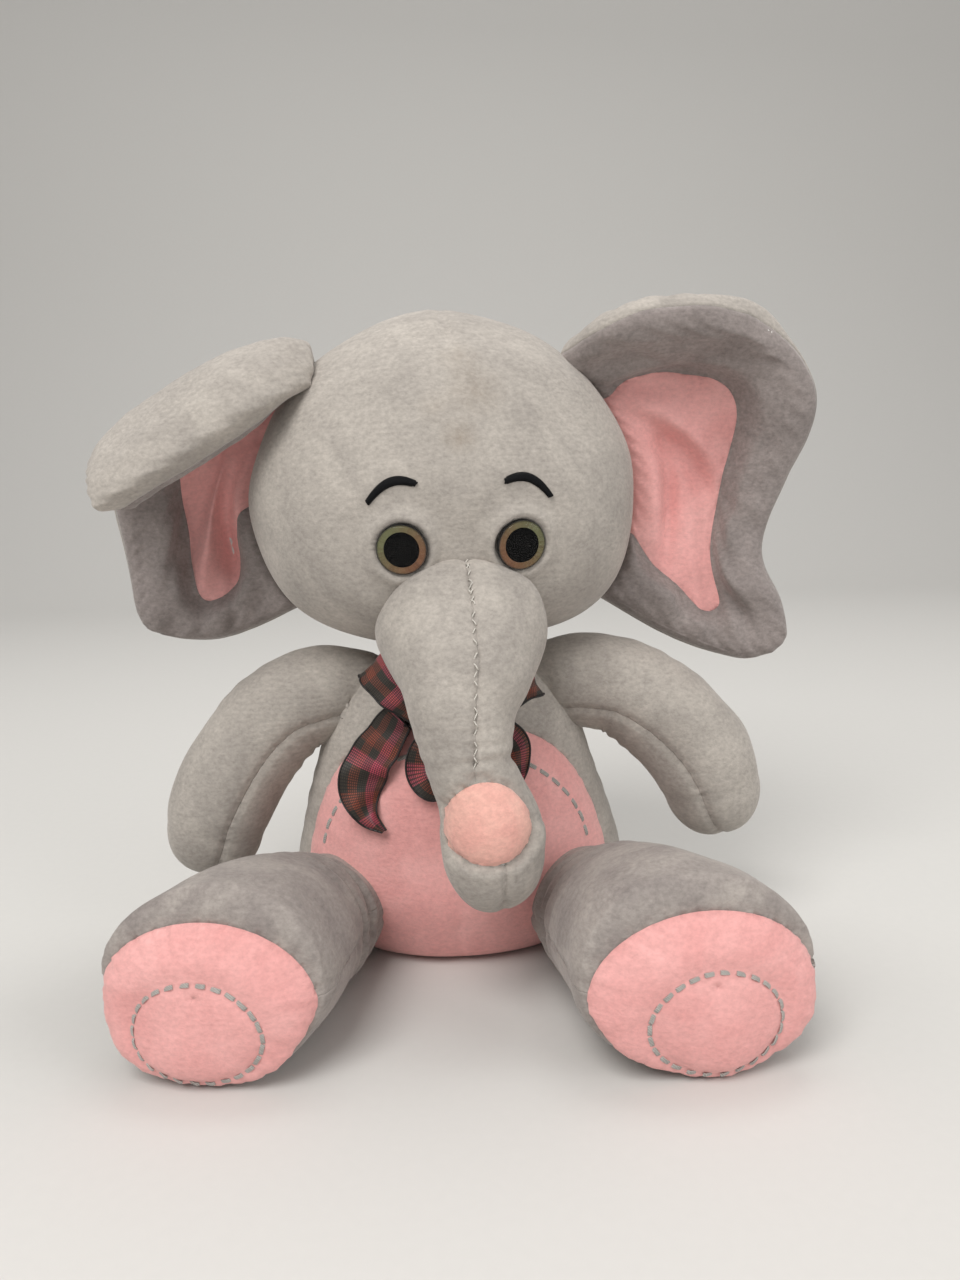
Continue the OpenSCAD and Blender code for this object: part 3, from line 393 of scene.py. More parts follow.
def tummy_edge():
    """Half width of the tummy panel where it is widest, that height, and the height of its arch."""
    s = sizes()
    return 0.44 * s.torso_width, 0.34 * s.torso_height, 0.85 * s.torso_height


def tummy_distance(around, half, z, radius):
    """Distance from the tummy panel's edge, below 0 on the panel."""
    wide, wide_z, top = tummy_edge()
    a = math.asin(wide / float(torso_half(wide_z))) * 0.5 * float(torso_half(wide_z)) * 1.75
    b = top - wide_z
    arc = np.abs(around) * radius
    low_half = wide * (0.55 + 0.45 * np.clip(z / wide_z, 0, 1))
    low = arc - np.arcsin(np.clip(low_half / np.maximum(half, 1), 0, 0.98)) * radius
    rise = (z - wide_z) / b
    share = np.sqrt((arc / a) ** 2 + rise**2)
    slope = np.sqrt((arc / a**2) ** 2 + (rise / b) ** 2) / np.maximum(share, 1e-6)
    high = (share - 1) / np.maximum(slope, 1 / a)
    mix = np.clip((z - wide_z + 6) / 12, 0, 1)
    return low * (1 - mix) + high * mix


def torso_surface(inset=0.0, rows=120, columns=200):
    """Points, faces, angle round from the front, and half width of the torso."""
    s = sizes()
    line = curve(TORSO_LINE, np.linspace(0, 1, rows)) * [s.torso_width / 2, s.torso_height]
    half = line[:, :1] - inset
    z = np.maximum(line[:, 1:], 0.25) + inset * np.linspace(1, -1, rows)[:, None]
    around = np.linspace(-math.pi, math.pi, columns, endpoint=False)[None, :]
    front = np.clip(0.5 + 1.6 * np.cos(around), 0, 1)
    depth = torso_depth_at(half, z) * (BACK_SHARE + (1 - BACK_SHARE) * front)
    points = np.stack([half * np.sin(around), -depth * np.cos(around), z + 0 * around], -1).reshape(-1, 3)
    return points, grid_faces(rows, columns, True), (around + 0 * z).ravel(), (half + 0 * around).ravel()


def make_torso(colours):
    s = sizes()
    points, faces, around, half = torso_surface()
    z = points[:, 2]
    radius = (half + torso_depth_at(half, z)) / 2
    edge = tummy_distance(around, half, z, radius)
    middle = np.abs(points[:, 0])
    behind = np.abs(around) > math.pi / 2
    on_panel = edge < 0
    pull = seam_pull(edge, z + 0.7 * np.abs(around) * radius, s.seam_depth)
    pull += np.where(behind | ~on_panel, seam_pull(middle, z, s.seam_depth * 0.9, 1), 0)
    hip = np.exp(-(((z - 58) / 16) ** 2)) * np.exp(-(((np.abs(around) - 1.25) / 0.5) ** 2))
    fold = 0.3 * np.sin((z - 0.35 * np.abs(points[:, 0])) * 2 * math.pi / 11) * hip
    low_crease = np.exp(-((points[:, 0] / 1.6) ** 2)) * np.exp(-(((z - 14) / 9) ** 2)) * 0.8
    round_belly = 1.6 * np.exp(-((edge + 26) / 22) ** 2) * on_panel
    amount = lumps(points, 42, 3) * 0.6 + round_belly + fold - pull - low_crease * on_panel
    amount *= np.clip((z - 0.3) / 5, 0, 1)
    shaped = np.hstack([push(points, faces, amount), edge[:, None], points[:, :1]])
    shaped[:, 2] = np.maximum(shaped[:, 2], 0.2)
    shaped, sides, tummy = cut(shaped, faces, 6)
    shaped, left, right = cut(shaped, sides, 7)
    sew("tummy_panel", shaped, tummy, colours["pink"], "torso")
    sew("torso_left_panel", shaped, left, colours["grey"], "torso")
    sew("torso_right_panel", shaped, right, colours["grey"], "torso")
    make_seat(colours)
    inner, inner_faces, _, _ = torso_surface(3.2, 60, 96)
    inner[:, :3] += normals_of(inner, inner_faces) * lumps(inner, 15, 9)[:, None] * 0.8
    inner[:, 2] = np.maximum(inner[:, 2], 2.0)
    make_fill("torso_stuffing", inner, inner_faces, colours, "torso")


def make_fill(node, points, faces, colours, where):
    """A bundle of stuffing fibre, closed at both ends, that stands for a CAD filling."""
    columns = max(abs(faces[0][3] - faces[0][0]), abs(faces[0][1] - faces[0][0]))
    ends = [list(range(columns))[::-1], list(range(len(points) - columns, len(points)))]
    piece = make_piece(f"{node}_fibre", points, faces + ends, colours["fibre"])
    hold(piece, where, node)


def make_seat(colours):
    """The round panel under the toy, slightly puffed, with a gathered edge."""
    low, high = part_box("seat_panel")
    r = (high.x - low.x) / 2 / MM
    rings = np.linspace(0.002, 1, 26)[:, None]
    around = np.linspace(0, 2 * math.pi, 96, endpoint=False)[None, :]
    gather = 0.25 * np.cos(24 * around) * np.clip((rings - 0.8) / 0.2, 0, 1)
    z = 0.15 + 0.9 * rings**6 + gather
    points = np.stack([r * rings * np.cos(around), r * rings * np.sin(around), z + 0 * around], -1).reshape(-1, 3)
    faces = grid_faces(26, 96, True)
    top = points + [0, 0, 1.3]
    n = len(points)
    rim = [[n - 96 + i, n - 96 + (i + 1) % 96, 2 * n - 96 + (i + 1) % 96, 2 * n - 96 + i] for i in range(96)]
    faces += [[i + n for i in f[::-1]] for f in faces] + rim
    piece = make_piece("seat_panel_plush", np.vstack([points, top]), faces, colours["grey"])
    hold(piece, "torso", "seat_panel")


# ---------- thread ----------


def satin_stitch(centre, tangent, normal, length, width, strands=4, radius=0.24, rise=0.5):
    """Parallel strands of thread that dive into the cloth at both ends."""
    tangent = unit(tangent - normal * np.dot(tangent, normal))
    across = np.cross(normal, tangent)
    t = np.linspace(-1, 1, 7)
    lift = rise * (1 - t**4) - 0.35
    parts = []
    for k in range(strands):
        offset = (k - (strands - 1) / 2) * width / strands
        path = centre + np.outer(t * length / 2, tangent) + np.outer(lift - 0.12 * abs(offset), normal)
        path = path + across * offset
        parts.append(tube(path, radius, 6))
    return merged(parts)


def make_tummy_stitches(colours):
    wide, wide_z, top = tummy_edge()
    inset, low, count = 9.5, math.radians(12), 23
    meet = surface_of("tummy_panel_plush")
    parts = []
    for a in np.linspace(low, math.pi - low, count):
        x, z = (wide - inset) * math.cos(a), wide_z + (top - inset - wide_z) * math.sin(a)
        dx, dz = -(wide - inset) * math.sin(a), (top - inset - wide_z) * math.cos(a)
        n = normal_on(torso_front, x, z)
        along = torso_front(x + dx * 0.02, z + dz * 0.02) - torso_front(x, z)
        parts.append(satin_stitch(meet(torso_front(x, z), n) + n * 0.15, along, n, 4.6, 1.5))
    piece = make_piece("tummy_stitches_thread", *merged(parts), colours["thread"])
    hold(piece, "torso", "tummy_stitches")


def make_back_stitches(colours):
    """The ladder stitch that closes the back."""
    s = sizes()
    meet = surface_of("torso_left_panel_plush", "torso_right_panel_plush")
    parts = []
    for z in np.linspace(0.34, 0.66, 9) * s.torso_height:
        out = np.array([0.0, 1.0, 0.12])
        place = meet(np.array([0.6, 0.4 * s.torso_depth, z]), out) + out * 0.3
        parts.append(satin_stitch(place, np.array([1.0, 0, 0.15]), out, 4.2, 0.5, 1, 0.3, 0.7))
    piece = make_piece("back_seam_thread_strand", *merged(parts), colours["thread"])
    hold(piece, "torso", "back_seam_thread")


# ---------- head ----------

HEAD_GAP = 6.5
EYE_PLACE = (0.137, 0.33)
TRUNK_ROOT = (0.0, -46.0, 133.3)


def head_bottom():
    return sizes().torso_height + HEAD_GAP

def eye_place(side):
    """Middle of an eye, across and up."""
    s = sizes()
    return side * EYE_PLACE[0] * s.head_width, head_bottom() + EYE_PLACE[1] * s.head_height


def head_half(z):
    s = sizes()
    c = np.clip(1 - 2 * (z - head_bottom()) / s.head_height, -1, 1)
    return s.head_width / 2 * np.sqrt(1 - c * c) * (0.99 + 0.12 * c + 0.25 * np.maximum(c, 0) ** 3)


def head_front(x, z):
    s = sizes()
    share = s.head_depth / s.head_width
    return np.stack([x, -share * np.sqrt(np.maximum(0, head_half(z) ** 2 - x * x)), z], -1)



def head_reach(direction):
    """Distance from the head's middle to its surface."""
    s = sizes()
    share = s.head_depth / s.head_width
    middle = head_bottom() + s.head_height / 2
    near, far = np.zeros(len(direction)), np.full(len(direction), s.head_width)
    for _ in range(34):
        r = (near + far) / 2
        p = direction * r[:, None]
        outside = (np.hypot(p[:, 0], p[:, 1] / share) > head_half(p[:, 2] + middle)) | (
            np.abs(p[:, 2]) > s.head_height / 2
        )
        near, far = np.where(outside, near, r), np.where(outside, r, far)
    return near


def head_surface(inset=0.0, rows=150, columns=180):
    """The head as rings round the line from the face to the nape."""
    s = sizes()
    middle = np.array([0, 0, head_bottom() + s.head_height / 2])
    t = np.linspace(0.0008, 1 - 0.0008, rows)[:, None] * math.pi
    p = np.linspace(0, 2 * math.pi, columns, endpoint=False)[None, :]
    direction = np.stack([np.sin(t) * np.cos(p), -np.cos(t) + 0 * p, np.sin(t) * np.sin(p)], -1).reshape(-1, 3)
    points = middle + direction * (head_reach(direction)[:, None] - inset)
    return points, [f[::-1] for f in grid_faces(rows, columns, True)]


def make_head(colours):
    s = sizes()
    points, faces = head_surface()
    x, y, z = points.T
    seam = y - 0.08 * s.head_depth
    around = np.arctan2(z - head_bottom() - s.head_height / 2, x) * 66
    pull = seam_pull(seam, around, s.seam_depth, 2)
    amount = lumps(points, 55, 5) * 0.8 + lumps(points, 24, 6) * 0.22 - pull
    for side in (LEFT, RIGHT):
        ex, ez = eye_place(side)
        away = np.linalg.norm(points - head_front(ex, ez), axis=1)
        rim = s.eye_size / 2
        amount -= 2.3 * (1 - smooth_step((away - rim + 0.4) / 1.6))
        amount += 1.15 * np.exp(-(((away - rim - 2.2) / 2.3) ** 2)) * (1 + 0.5 * np.clip((z - ez) / rim, 0, 1))
        amount -= 0.9 * np.exp(-(((away - rim - 8) / 5) ** 2))
        cheek = np.linalg.norm(points - head_front(side * 47, head_bottom() + 36), axis=1)
        amount += 1.5 * np.exp(-((cheek / 22) ** 2))
    crown_z = head_bottom() + 0.93 * s.head_height
    crown = np.exp(-(((z - crown_z) / 7) ** 2)) * (y < 0)
    amount += crown * (1.3 * np.exp(-(((x + 4.5) / 2.4) ** 2)) - 1.3 * np.exp(-(((x + 0.6) / 1.8) ** 2)))
    amount += crown * 0.9 * np.exp(-(((x - 3.4) / 3) ** 2))
    bridge = np.linalg.norm(points - head_front(0, head_bottom() + 44), axis=1)
    amount -= 1.3 * np.exp(-((bridge / 11) ** 2))
    shaped = np.hstack([push(points, faces, amount), seam[:, None]])
    last = len(points) - 1
    poles = [list(range(180)), list(range(last, last - 180, -1))]
    shaped, back, face = cut(shaped, faces + poles, 6)
    shaped[:, :3], shaped[:, 3:6] = turned(shaped[:, :3], s.turn), turned(shaped[:, 3:6], s.turn)
    sew("head_face_panel", shaped, face, colours["face"], "head")
    sew("head_back_panel", shaped, back, colours["grey"], "head")
    inner, inner_faces = head_surface(5.2, 60, 72)
    inner += normals_of(inner, inner_faces) * lumps(inner, 15, 12)[:, None] * 0.8
    make_fill("head_stuffing", turned(inner, s.turn), inner_faces, colours, "head")
    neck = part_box("neck_stuffing")
    middle = (np.array(neck[0]) + np.array(neck[1])) / 2 / MM
    size = (np.array(neck[1]) - np.array(neck[0])) / 2 / MM - 0.8
    t = np.linspace(0.05, math.pi - 0.05, 28)[:, None]
    p = np.linspace(0, 2 * math.pi, 48, endpoint=False)[None, :]
    ball = np.stack([np.sin(t) * np.cos(p), -np.sin(t) * np.sin(p), np.cos(t) + 0 * p], -1).reshape(-1, 3)
    ball = ball * size + middle
    ball_faces = grid_faces(28, 48, True)
    ball += normals_of(ball, ball_faces) * lumps(ball, 9, 14)[:, None] * 0.5
    make_fill("neck_stuffing", ball, ball_faces, colours, "neck")


def smooth_step(t):
    t = np.clip(t, 0, 1)
    return t * t * (3 - 2 * t)


def make_eyebrows(colours):
    """Black satin stitch, laid across an arc that is thick near the trunk and thin at the temple."""
    s = sizes()
    meet = surface_of("head_face_panel_plush")

    def brow_place(side, u):
        x = side * (0.1 + 0.108 * u) * s.head_width
        z = head_bottom() + 0.5 * s.head_height + 2.6 * math.sin(math.radians(150 * u)) - 7 * u**2.2
        normal = turned(normal_on(head_front, x, z), s.turn)
        return meet(turned(head_front(x, z), s.turn), normal), normal

    for side in (LEFT, RIGHT):
        parts = []
        for u in np.linspace(0, 1, 46):
            p, n = brow_place(side, u)
            along = unit(brow_place(side, u + 0.03)[0] - p)
            across = np.cross(n, along)
            width = 3.0 * (0.3 + 0.7 * math.sin(math.radians(26 + 122 * (1 - u)))) * (0.75 if u < 0.03 else 1)
            parts.append(satin_stitch(p + n * 0.25, unit(across + 0.35 * along), n, width, 0.4, 1, 0.34, 0.8))
        points, faces = merged(parts)
        piece = make_piece(f"{SIDE_NAME[side]}_eyebrow_satin", points, faces, colours["brow"])
        hold(piece, "head", f"{SIDE_NAME[side]}_eyebrow")


def finish_eyes(colours):
    """Each safety eye gets a lens in place of its solid dome, and finishes on its other parts."""
    for side in (LEFT, RIGHT):
        name = SIDE_NAME[side]
        make_lens(side, colours)
        dress(f"{name}_eye_iris", colours[f"{name}_iris"])
        dress(f"{name}_eye_pupil", colours["pupil"])
        dress(f"{name}_eye_shank", colours["black_plastic"])
    dress("eye_washers", colours["white_plastic"])


def make_lens(side, colours):
    """The clear dome over a printed iris."""
    s = sizes()
    x, z = eye_place(side)
    place, ahead = turned(head_front(x, z), s.turn), turned(normal_on(head_front, x, z), s.turn)
    across = unit(np.cross(ahead, (0, 0, 1)))
    up = np.cross(across, ahead)
    rings = np.linspace(0.002, 1, 24)[:, None]
    around = np.linspace(0, 2 * math.pi, 64, endpoint=False)[None, :]
    disc = s.eye_size / 2 * rings[..., None] * (np.cos(around)[..., None] * across + np.sin(around)[..., None] * up)
    front = place + disc + ahead * (1.1 + 2.4 * np.sqrt(1 - rings**2))[..., None]
    back = (place + disc + ahead * (1.02 + 2.1 * np.sqrt(1 - rings**2))[..., None])[::-1]
    points = np.vstack([front.reshape(-1, 3), back.reshape(-1, 3)])
    piece = make_piece(f"{SIDE_NAME[side]}_eye_lens", points, grid_faces(48, 64, True), colours["lens"])
    hold(piece, "head", f"{SIDE_NAME[side]}_eye_dome")


def dress(node, material):
    """Gives a CAD node its finish."""
    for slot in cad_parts[node].material_slots:
        slot.material = material


# ---------- limbs ----------


def limb_surface(marks, up, rows, columns, end_bulge):
    """A limb along marks [x, y, z, half across, half high], round at its end. Its last face closes its start."""
    marks = np.asarray(marks, float)
    body = curve(marks, np.linspace(0, 1, rows))
    out = unit(body[-1, :3] - body[-3, :3])
    a = np.linspace(0, math.pi / 2, 22)[1:]
    end = np.hstack([
        body[-1, :3] + np.outer(np.sin(a) * end_bulge, out),
        np.outer(np.cos(a), body[-1, 3:5]) + 0.02,
    ])
    body = np.vstack([body, end])
    along = np.gradient(body[:, :3], axis=0)
    along[-len(end) - 1:] = out
    along = unit(along)
    side = unit(np.cross(along, up))
    third = np.cross(along, side)
    around = np.linspace(0, 2 * math.pi, columns, endpoint=False)
    points = body[:, None, :3] + (
        side[:, None] * (body[:, 3, None] * np.cos(around))[..., None]
        + third[:, None] * (body[:, 4, None] * np.sin(around))[..., None]
    )
    step = np.linalg.norm(np.diff(body[:, :3], axis=0), axis=1) + np.abs(np.diff(body[:, 3]))
    s_along = np.repeat(np.concatenate([[0], np.cumsum(step)]), columns)
    faces = grid_faces(len(body), columns, True) + [list(range(columns))]
    return points.reshape(-1, 3), faces, s_along, np.tile(around, len(body)), np.repeat(body[:, 3], columns)


def limb_fill(node, points, faces, colours, where):
    """Stuffing fibre inside a limb."""
    hold(make_piece(f"{node}_fibre", points, faces, colours["fibre"]), where, node)

def shrunk(marks, by):
    marks = np.array(marks, float)
    marks[:, 3:] = np.maximum(marks[:, 3:] - by, 1.0)
    return marks


ARM_MARKS = {
    LEFT: [
        (30, -2.5, 98, 14), (36, -2.7, 100, 17), (42.6, -3, 101.7, 18.6), (54.2, -5.2, 102.4, 19.4),
        (67.3, -7.8, 100.9, 20), (77.9, -10.2, 95.3, 20.4), (88, -12.7, 87, 20.9), (97.2, -15.1, 76.4, 20.9),
        (102.4, -16.6, 66.9, 20.2), (104.8, -17.3, 59.7, 19.2),
    ],
    RIGHT: [
        (-30, -2.5, 98, 14), (-36, -2.7, 100, 17), (-42.6, -3, 101.7, 18.6), (-53.2, -5.2, 100.8, 19.4),
        (-65.5, -7.8, 96.8, 20), (-75.8, -10.2, 88.3, 20.4), (-84.6, -12.7, 77.7, 20.9), (-91.6, -15.1, 65.7, 20.9),
        (-96, -16.6, 55.8, 20.2), (-98, -17.3, 48.8, 19.2),
    ],
}
ARM_SEAM = {LEFT: math.radians(-66), RIGHT: math.radians(66)}


def make_arm(side, colours):
    s = sizes()
    name = SIDE_NAME[side]
    marks = [(x, y, z, r, r * 0.96) for x, y, z, r in ARM_MARKS[side]]
    points, faces, along, around, radius = limb_surface(marks, (0, -1, 0), 90, 96, 19.0)
    seam = np.sin(around - ARM_SEAM[side])
    near = np.arcsin(np.clip(seam, -1, 1)) * np.maximum(radius, 1)
    elbow = np.exp(-(((along - 52) / 15) ** 2))
    under = np.clip(np.cos(around) * side, 0, 1)
    crease = np.sin(along * 2 * math.pi / 8.5 + 1.2 * lumps(points, 30, 21)) * elbow * (0.2 + 0.2 * under)
    shoulder = np.exp(-(((along - 15) / 7) ** 2))
    amount = lumps(points, 30, 20 + side) * 0.7 + crease - seam_pull(near, along, s.seam_depth, side) - 0.8 * shoulder
    amount *= np.clip(radius / 8, 0, 1)
    shaped = np.hstack([push(points, faces[:-1], amount), (seam * 10)[:, None]])
    shaped, one, other = cut(shaped, faces[:-1], 6)
    lower, upper = sorted((one, other), key=lambda panel: mean_height(shaped, panel))
    root = np.array(marks[2][:3])
    where = ("torso", f"{name}_arm", root - [side * 5, 0, 0], root + [side * 17, -2, 0])
    sew(f"{name}_arm_upper_panel", shaped, upper, colours["grey"], where)
    sew(f"{name}_arm_under_panel", shaped, lower, colours["grey"], where)
    inner, inner_faces, _, _, _ = limb_surface(shrunk(marks, 3.0), (0, -1, 0), 50, 40, 16.0)
    inner += normals_of(inner, inner_faces[:-1]) * lumps(inner, 12, 24)[:, None] * 0.5
    limb_fill(f"{name}_arm_stuffing", inner, inner_faces, colours, where)


def mean_height(points, faces):
    return points[[f[0] for f in faces], 2].mean()


LEG_SPLAY = math.radians(23)

def leg_frame(side):
    """Hip, direction of the leg and the direction across it."""
    s = sizes()
    hip = np.array([side * 0.32 * s.torso_width, -0.29 * s.torso_depth, s.leg_radius - 1])
    ahead, aside = math.cos(LEG_SPLAY), side * math.sin(LEG_SPLAY)
    return hip, np.array([aside, -ahead, 0]), np.array([ahead, aside, 0])


SOLE_BULGE = 11.0
RING_SIZE, RING_DROP = (0.66, 0.54), 0.33
# Each leg is stuffed a little longer than its pattern, and the two differ as they lie
LEG_MORE = {LEFT: 10.0, RIGHT: 7.0}
LEG_WIDE = {LEFT: 1.03, RIGHT: 0.98}
LEG_SHIFT = {LEFT: -0.03, RIGHT: -0.034}


def leant(points, side):
    """Tips the end of a leg so that its sole faces a little up and inwards."""
    s = sizes()
    hip, out, across = leg_frame(side)
    reached = (points - hip) @ out
    share = smooth_step(np.clip((reached - s.leg_length - LEG_MORE[side] + SOLE_BULGE + 30) / 36, 0, 1))
    up, outer = (points[:, 2] - hip[2]) / s.leg_radius, side * ((points - hip) @ across) / s.leg_radius
    return points + out * (share * (7.0 * outer - 5.5 * up))[:, None]


def make_leg(side, colours):
    s = sizes()
    name = SIDE_NAME[side]
    hip, out, across = leg_frame(side)
    r = s.leg_radius
    reach, shift, width = s.leg_length + LEG_MORE[side] - SOLE_BULGE, LEG_SHIFT[side], LEG_WIDE[side]
    line = [
        (-20, 0.42, 0.56, 0.34), (-10, 0.56, 0.6, 0.48), (0, 0.66, 0.65, 0.6), (14, 0.74, 0.72, 0.69),
        (30, 0.85, 0.82, 0.8), (46, 0.97, 0.92, 0.91), (62, 1.11, 0.99, 0.98), (77, 1.18, 1.03, 1.02), (reach + 2, 1.19, 1.04, 1.03),
    ]
    marks = []
    for d, wide, middle, high in line:
        place = hip + out * d + across * side * shift * max(d, 0) ** 2 / reach
        marks.append((*place[:2], r * middle, r * wide * (1 + (width - 1) * (d / reach) ** 2), r * high))
    points, faces, along, around, radius = limb_surface(marks, (0, 0, 1), 96, 132, SOLE_BULGE - 1.0)
    reached = (points - hip) @ out
    sideways, high = (points - hip) @ across - side * shift * reach, points[:, 2] - hip[2]
    oval = np.hypot(sideways / (1.17 * width * r), (high + 0.13 * r) / (0.91 * r))
    edge = np.minimum(reached - (reach + 1), (1 - oval) * 0.8 * r)
    rim_angle = np.arctan2(high, sideways)
    pull = seam_pull(edge, rim_angle * r, s.seam_depth * 1.25, 3)
    gathers = np.sin(rim_angle * 30) * 0.5 + np.sin(rim_angle * 17 + 1) * 0.5
    puff = np.clip(edge / 2, 0, 1) * (1 - np.clip((np.hypot(sideways, high) / r - 0.2) / 0.8, 0, 1) ** 3)
    pull -= 0.3 * gathers * np.exp(-(((np.abs(edge) - 3) / 4) ** 2)) * (edge > 0)
    w = np.hypot(sideways / (RING_SIZE[0] * r), (high + RING_DROP * r) / (RING_SIZE[1] * r))
    ring = np.exp(-((((w - 1) * RING_SIZE[1] * r) / 1.7) ** 2)) * (edge > 1)
    quilting = (0.9 * np.exp(-(((w - 1.38) / 0.22) ** 2)) + 0.8 * np.exp(-((w / 0.8) ** 2))) * (edge > 1)
    inner_side = np.clip(-side * (sideways / np.maximum(radius, 1)) * 0.75 + 0.45 + 0.25 * high / r, 0, 1)
    hip_fold = np.exp(-(((reached - 26) / 15) ** 2)) * inner_side
    wide_fold, fine_fold = (reached + 0.12 * high) * 2 * math.pi / 9.5, reached * 2 * math.pi / 5.3 + 1
    wrinkles = (np.sin(wide_fold) + 0.5 * np.sin(fine_fold)) * hip_fold * 1.15
    from_side = np.arcsin(np.clip(np.sin(around), -1, 1)) * np.maximum(radius, 1)
    side_seam = seam_pull(from_side, along, s.seam_depth * 0.55, 5)
    amount = lumps(points, 34, 30 + side) * 0.75 + wrinkles - pull - side_seam * (edge < 0)
    amount += quilting - ring * 0.9 + 0.4 * puff
    amount *= np.clip(radius / 5, 0, 1)
    points = leant(points, side)
    shaped = np.hstack([push(points, faces[:-1], amount), edge[:, None], high[:, None]])
    low = shaped[:, 2]
    shaped[:, 2] = 0.5 * (low + np.sqrt(low * low + 1.0))
    shaped, sole, leg = cut(shaped, faces[:-1], 6)
    shaped, upper, lower = cut(shaped, leg, 7)
    where = ("torso", f"{name}_leg", hip - out * 3, hip + out * 27)
    sew(f"{name}_leg_upper_panel", shaped, upper, colours["leg"], where)
    sew(f"{name}_leg_under_panel", shaped, lower, colours["leg"], where)
    sew(f"{name}_sole", shaped, sole, colours["pink"], f"{name}_leg")
    inner, inner_faces, _, _, _ = limb_surface(shrunk(marks, 4.2)[:-1], (0, 0, 1), 50, 48, SOLE_BULGE - 5)
    inner = leant(inner + normals_of(inner, inner_faces[:-1]) * lumps(inner, 13, 34)[:, None] * 0.5, side)
    inner[:, 2] = np.maximum(inner[:, 2], 2.6)
    limb_fill(f"{name}_leg_stuffing", inner, inner_faces, colours, where)
    make_sole_stitches(side, colours)


def make_sole_stitches(side, colours):
    """A ring of satin stitches that quilts the lower half of a sole."""
    s = sizes()
    name = SIDE_NAME[side]
    hip, out, across = leg_frame(side)
    meet = surface_of(f"{name}_sole_plush")

    def ring_place(t):
        a = RING_SIZE[0] * s.leg_radius * math.cos(t) + side * LEG_SHIFT[side] * s.leg_length
        b = RING_SIZE[1] * s.leg_radius * math.sin(t) - RING_DROP * s.leg_radius
        return meet(hip + across * a + [0, 0, b] + out * (s.leg_length + LEG_MORE[side] + 4), out)

    parts = []
    for t in np.arange(26) * 2 * math.pi / 26:
        place, along = ring_place(t), ring_place(t + 0.06) - ring_place(t - 0.06)
        n = unit(out + 0.4 * unit(across * math.cos(t) + np.array([0, 0, math.sin(t)])))
        parts.append(satin_stitch(place + n * 0.2, along, n, 3.6, 1.3))
    piece = make_piece(f"{name}_sole_stitches_thread", *merged(parts), colours["thread"])
    hold(piece, f"{name}_leg", f"{name}_sole_stitches")


# ---------- trunk ----------

TRUNK_MARKS = [
    (0, -34, 141, 18, 20), (0, -40, 137.5, 25.5, 28), (0, -46.5, 133, 27.5, 31), (-0.8, -55, 126.6, 25, 29),
    (-2, -64.8, 117.7, 21.5, 24.2), (-3.4, -71.5, 108.2, 18.4, 19), (-3.2, -75.7, 98.4, 16, 16.2),
    (-2, -77.8, 88.8, 14.4, 14.3), (1.4, -79.2, 79.5, 15, 15.6), (3.6, -80.3, 71, 16.4, 17.2), (4.4, -81.6, 59, 16.4, 17),
]
TRUNK_SEAM = [(85, -2.4), (96, -1.6), (110, -0.4), (128, 1.8), (150, 1.2)]
PAD_PLACE, PAD_FACING, PAD_SIZE = (2.2, -96.0, 75.5), (0.04, -0.97, 0.26), (16.2, 13.8)


def trunk_seam_x(z):
    return np.interp(z, *zip(*TRUNK_SEAM))


def make_trunk(colours):
    s = sizes()
    points, faces, along, around, radius = limb_surface(TRUNK_MARKS, (1, 0, 0), 100, 120, 19.5)
    x, y, z = points.T
    ahead = unit(PAD_FACING)
    across = unit(np.cross(ahead, (0, 0, 1)))
    up = np.cross(across, ahead)
    rel = points - np.array(PAD_PLACE)
    oval = np.hypot(rel @ across / PAD_SIZE[0], rel @ up / PAD_SIZE[1])
    in_front = (rel @ ahead) > -13
    pad = np.where(in_front, (oval - 1) * 14.5, 20.0)
    front = y < np.interp(z, [40, 60, 100, 133], [-80, -81, -75, -46])
    from_seam = x - np.where(z > 84, trunk_seam_x(z), 6.5)
    seam = np.where(pad > 0, seam_pull(from_seam, z, s.seam_depth * 1.2, 7), 0)
    near_seam = np.exp(-((from_seam / 8) ** 2))
    puckers = near_seam * np.sin(z * 2 * math.pi / 4.6) * np.exp(-(((z - 96) / 12) ** 2)) * 0.45 * front
    waist = np.exp(-(((z - 94) / 9) ** 2)) * np.sin((z + 0.25 * np.abs(x)) * 2 * math.pi / 6.5) * 0.22
    pad_seam = seam_pull(pad, x + z, s.seam_depth * 1.25, 8) * (pad < 15)
    amount = lumps(points, 28, 40) * 0.55 - seam + puckers + waist - pad_seam
    amount += 2.6 * np.clip(1 - oval**2, 0, 1) * in_front * (pad < 0)
    lip = np.exp(-(((pad - 3.2) / 2.4) ** 2)) * (z < PAD_PLACE[2] - 4) * in_front
    amount += 1.0 * lip
    amount *= np.clip(radius / 4, 0, 1)
    shaped = np.hstack([push(points, faces[:-1], amount), pad[:, None], from_seam[:, None]])
    shaped, sides, disc = cut(shaped, faces[:-1], 6)
    shaped, left, right = cut(shaped, sides, 7)
    shaped[:, :3], shaped[:, 3:6] = turned(shaped[:, :3], s.turn), turned(shaped[:, 3:6], s.turn)
    root = turned(np.array(TRUNK_ROOT), s.turn)
    ahead_root = turned(np.array([0, -0.82, -0.57]), s.turn)
    where = ("head", "trunk", root - ahead_root * 2, root + ahead_root * 30)
    sew("trunk_left_panel", shaped, left, colours["trunk"], where)
    sew("trunk_right_panel", shaped, right, colours["trunk"], where)
    sew("trunk_tip_pad", shaped, disc, colours["pad"], "trunk")
    inner, inner_faces, _, _, _ = limb_surface(shrunk(TRUNK_MARKS, 3.0), (1, 0, 0), 56, 44, 13.0)
    inner += normals_of(inner, inner_faces[:-1]) * lumps(inner, 11, 44)[:, None] * 0.45
    limb_fill("trunk_stuffing", turned(inner, s.turn), inner_faces, colours, where)
    make_trunk_seam(where, colours)


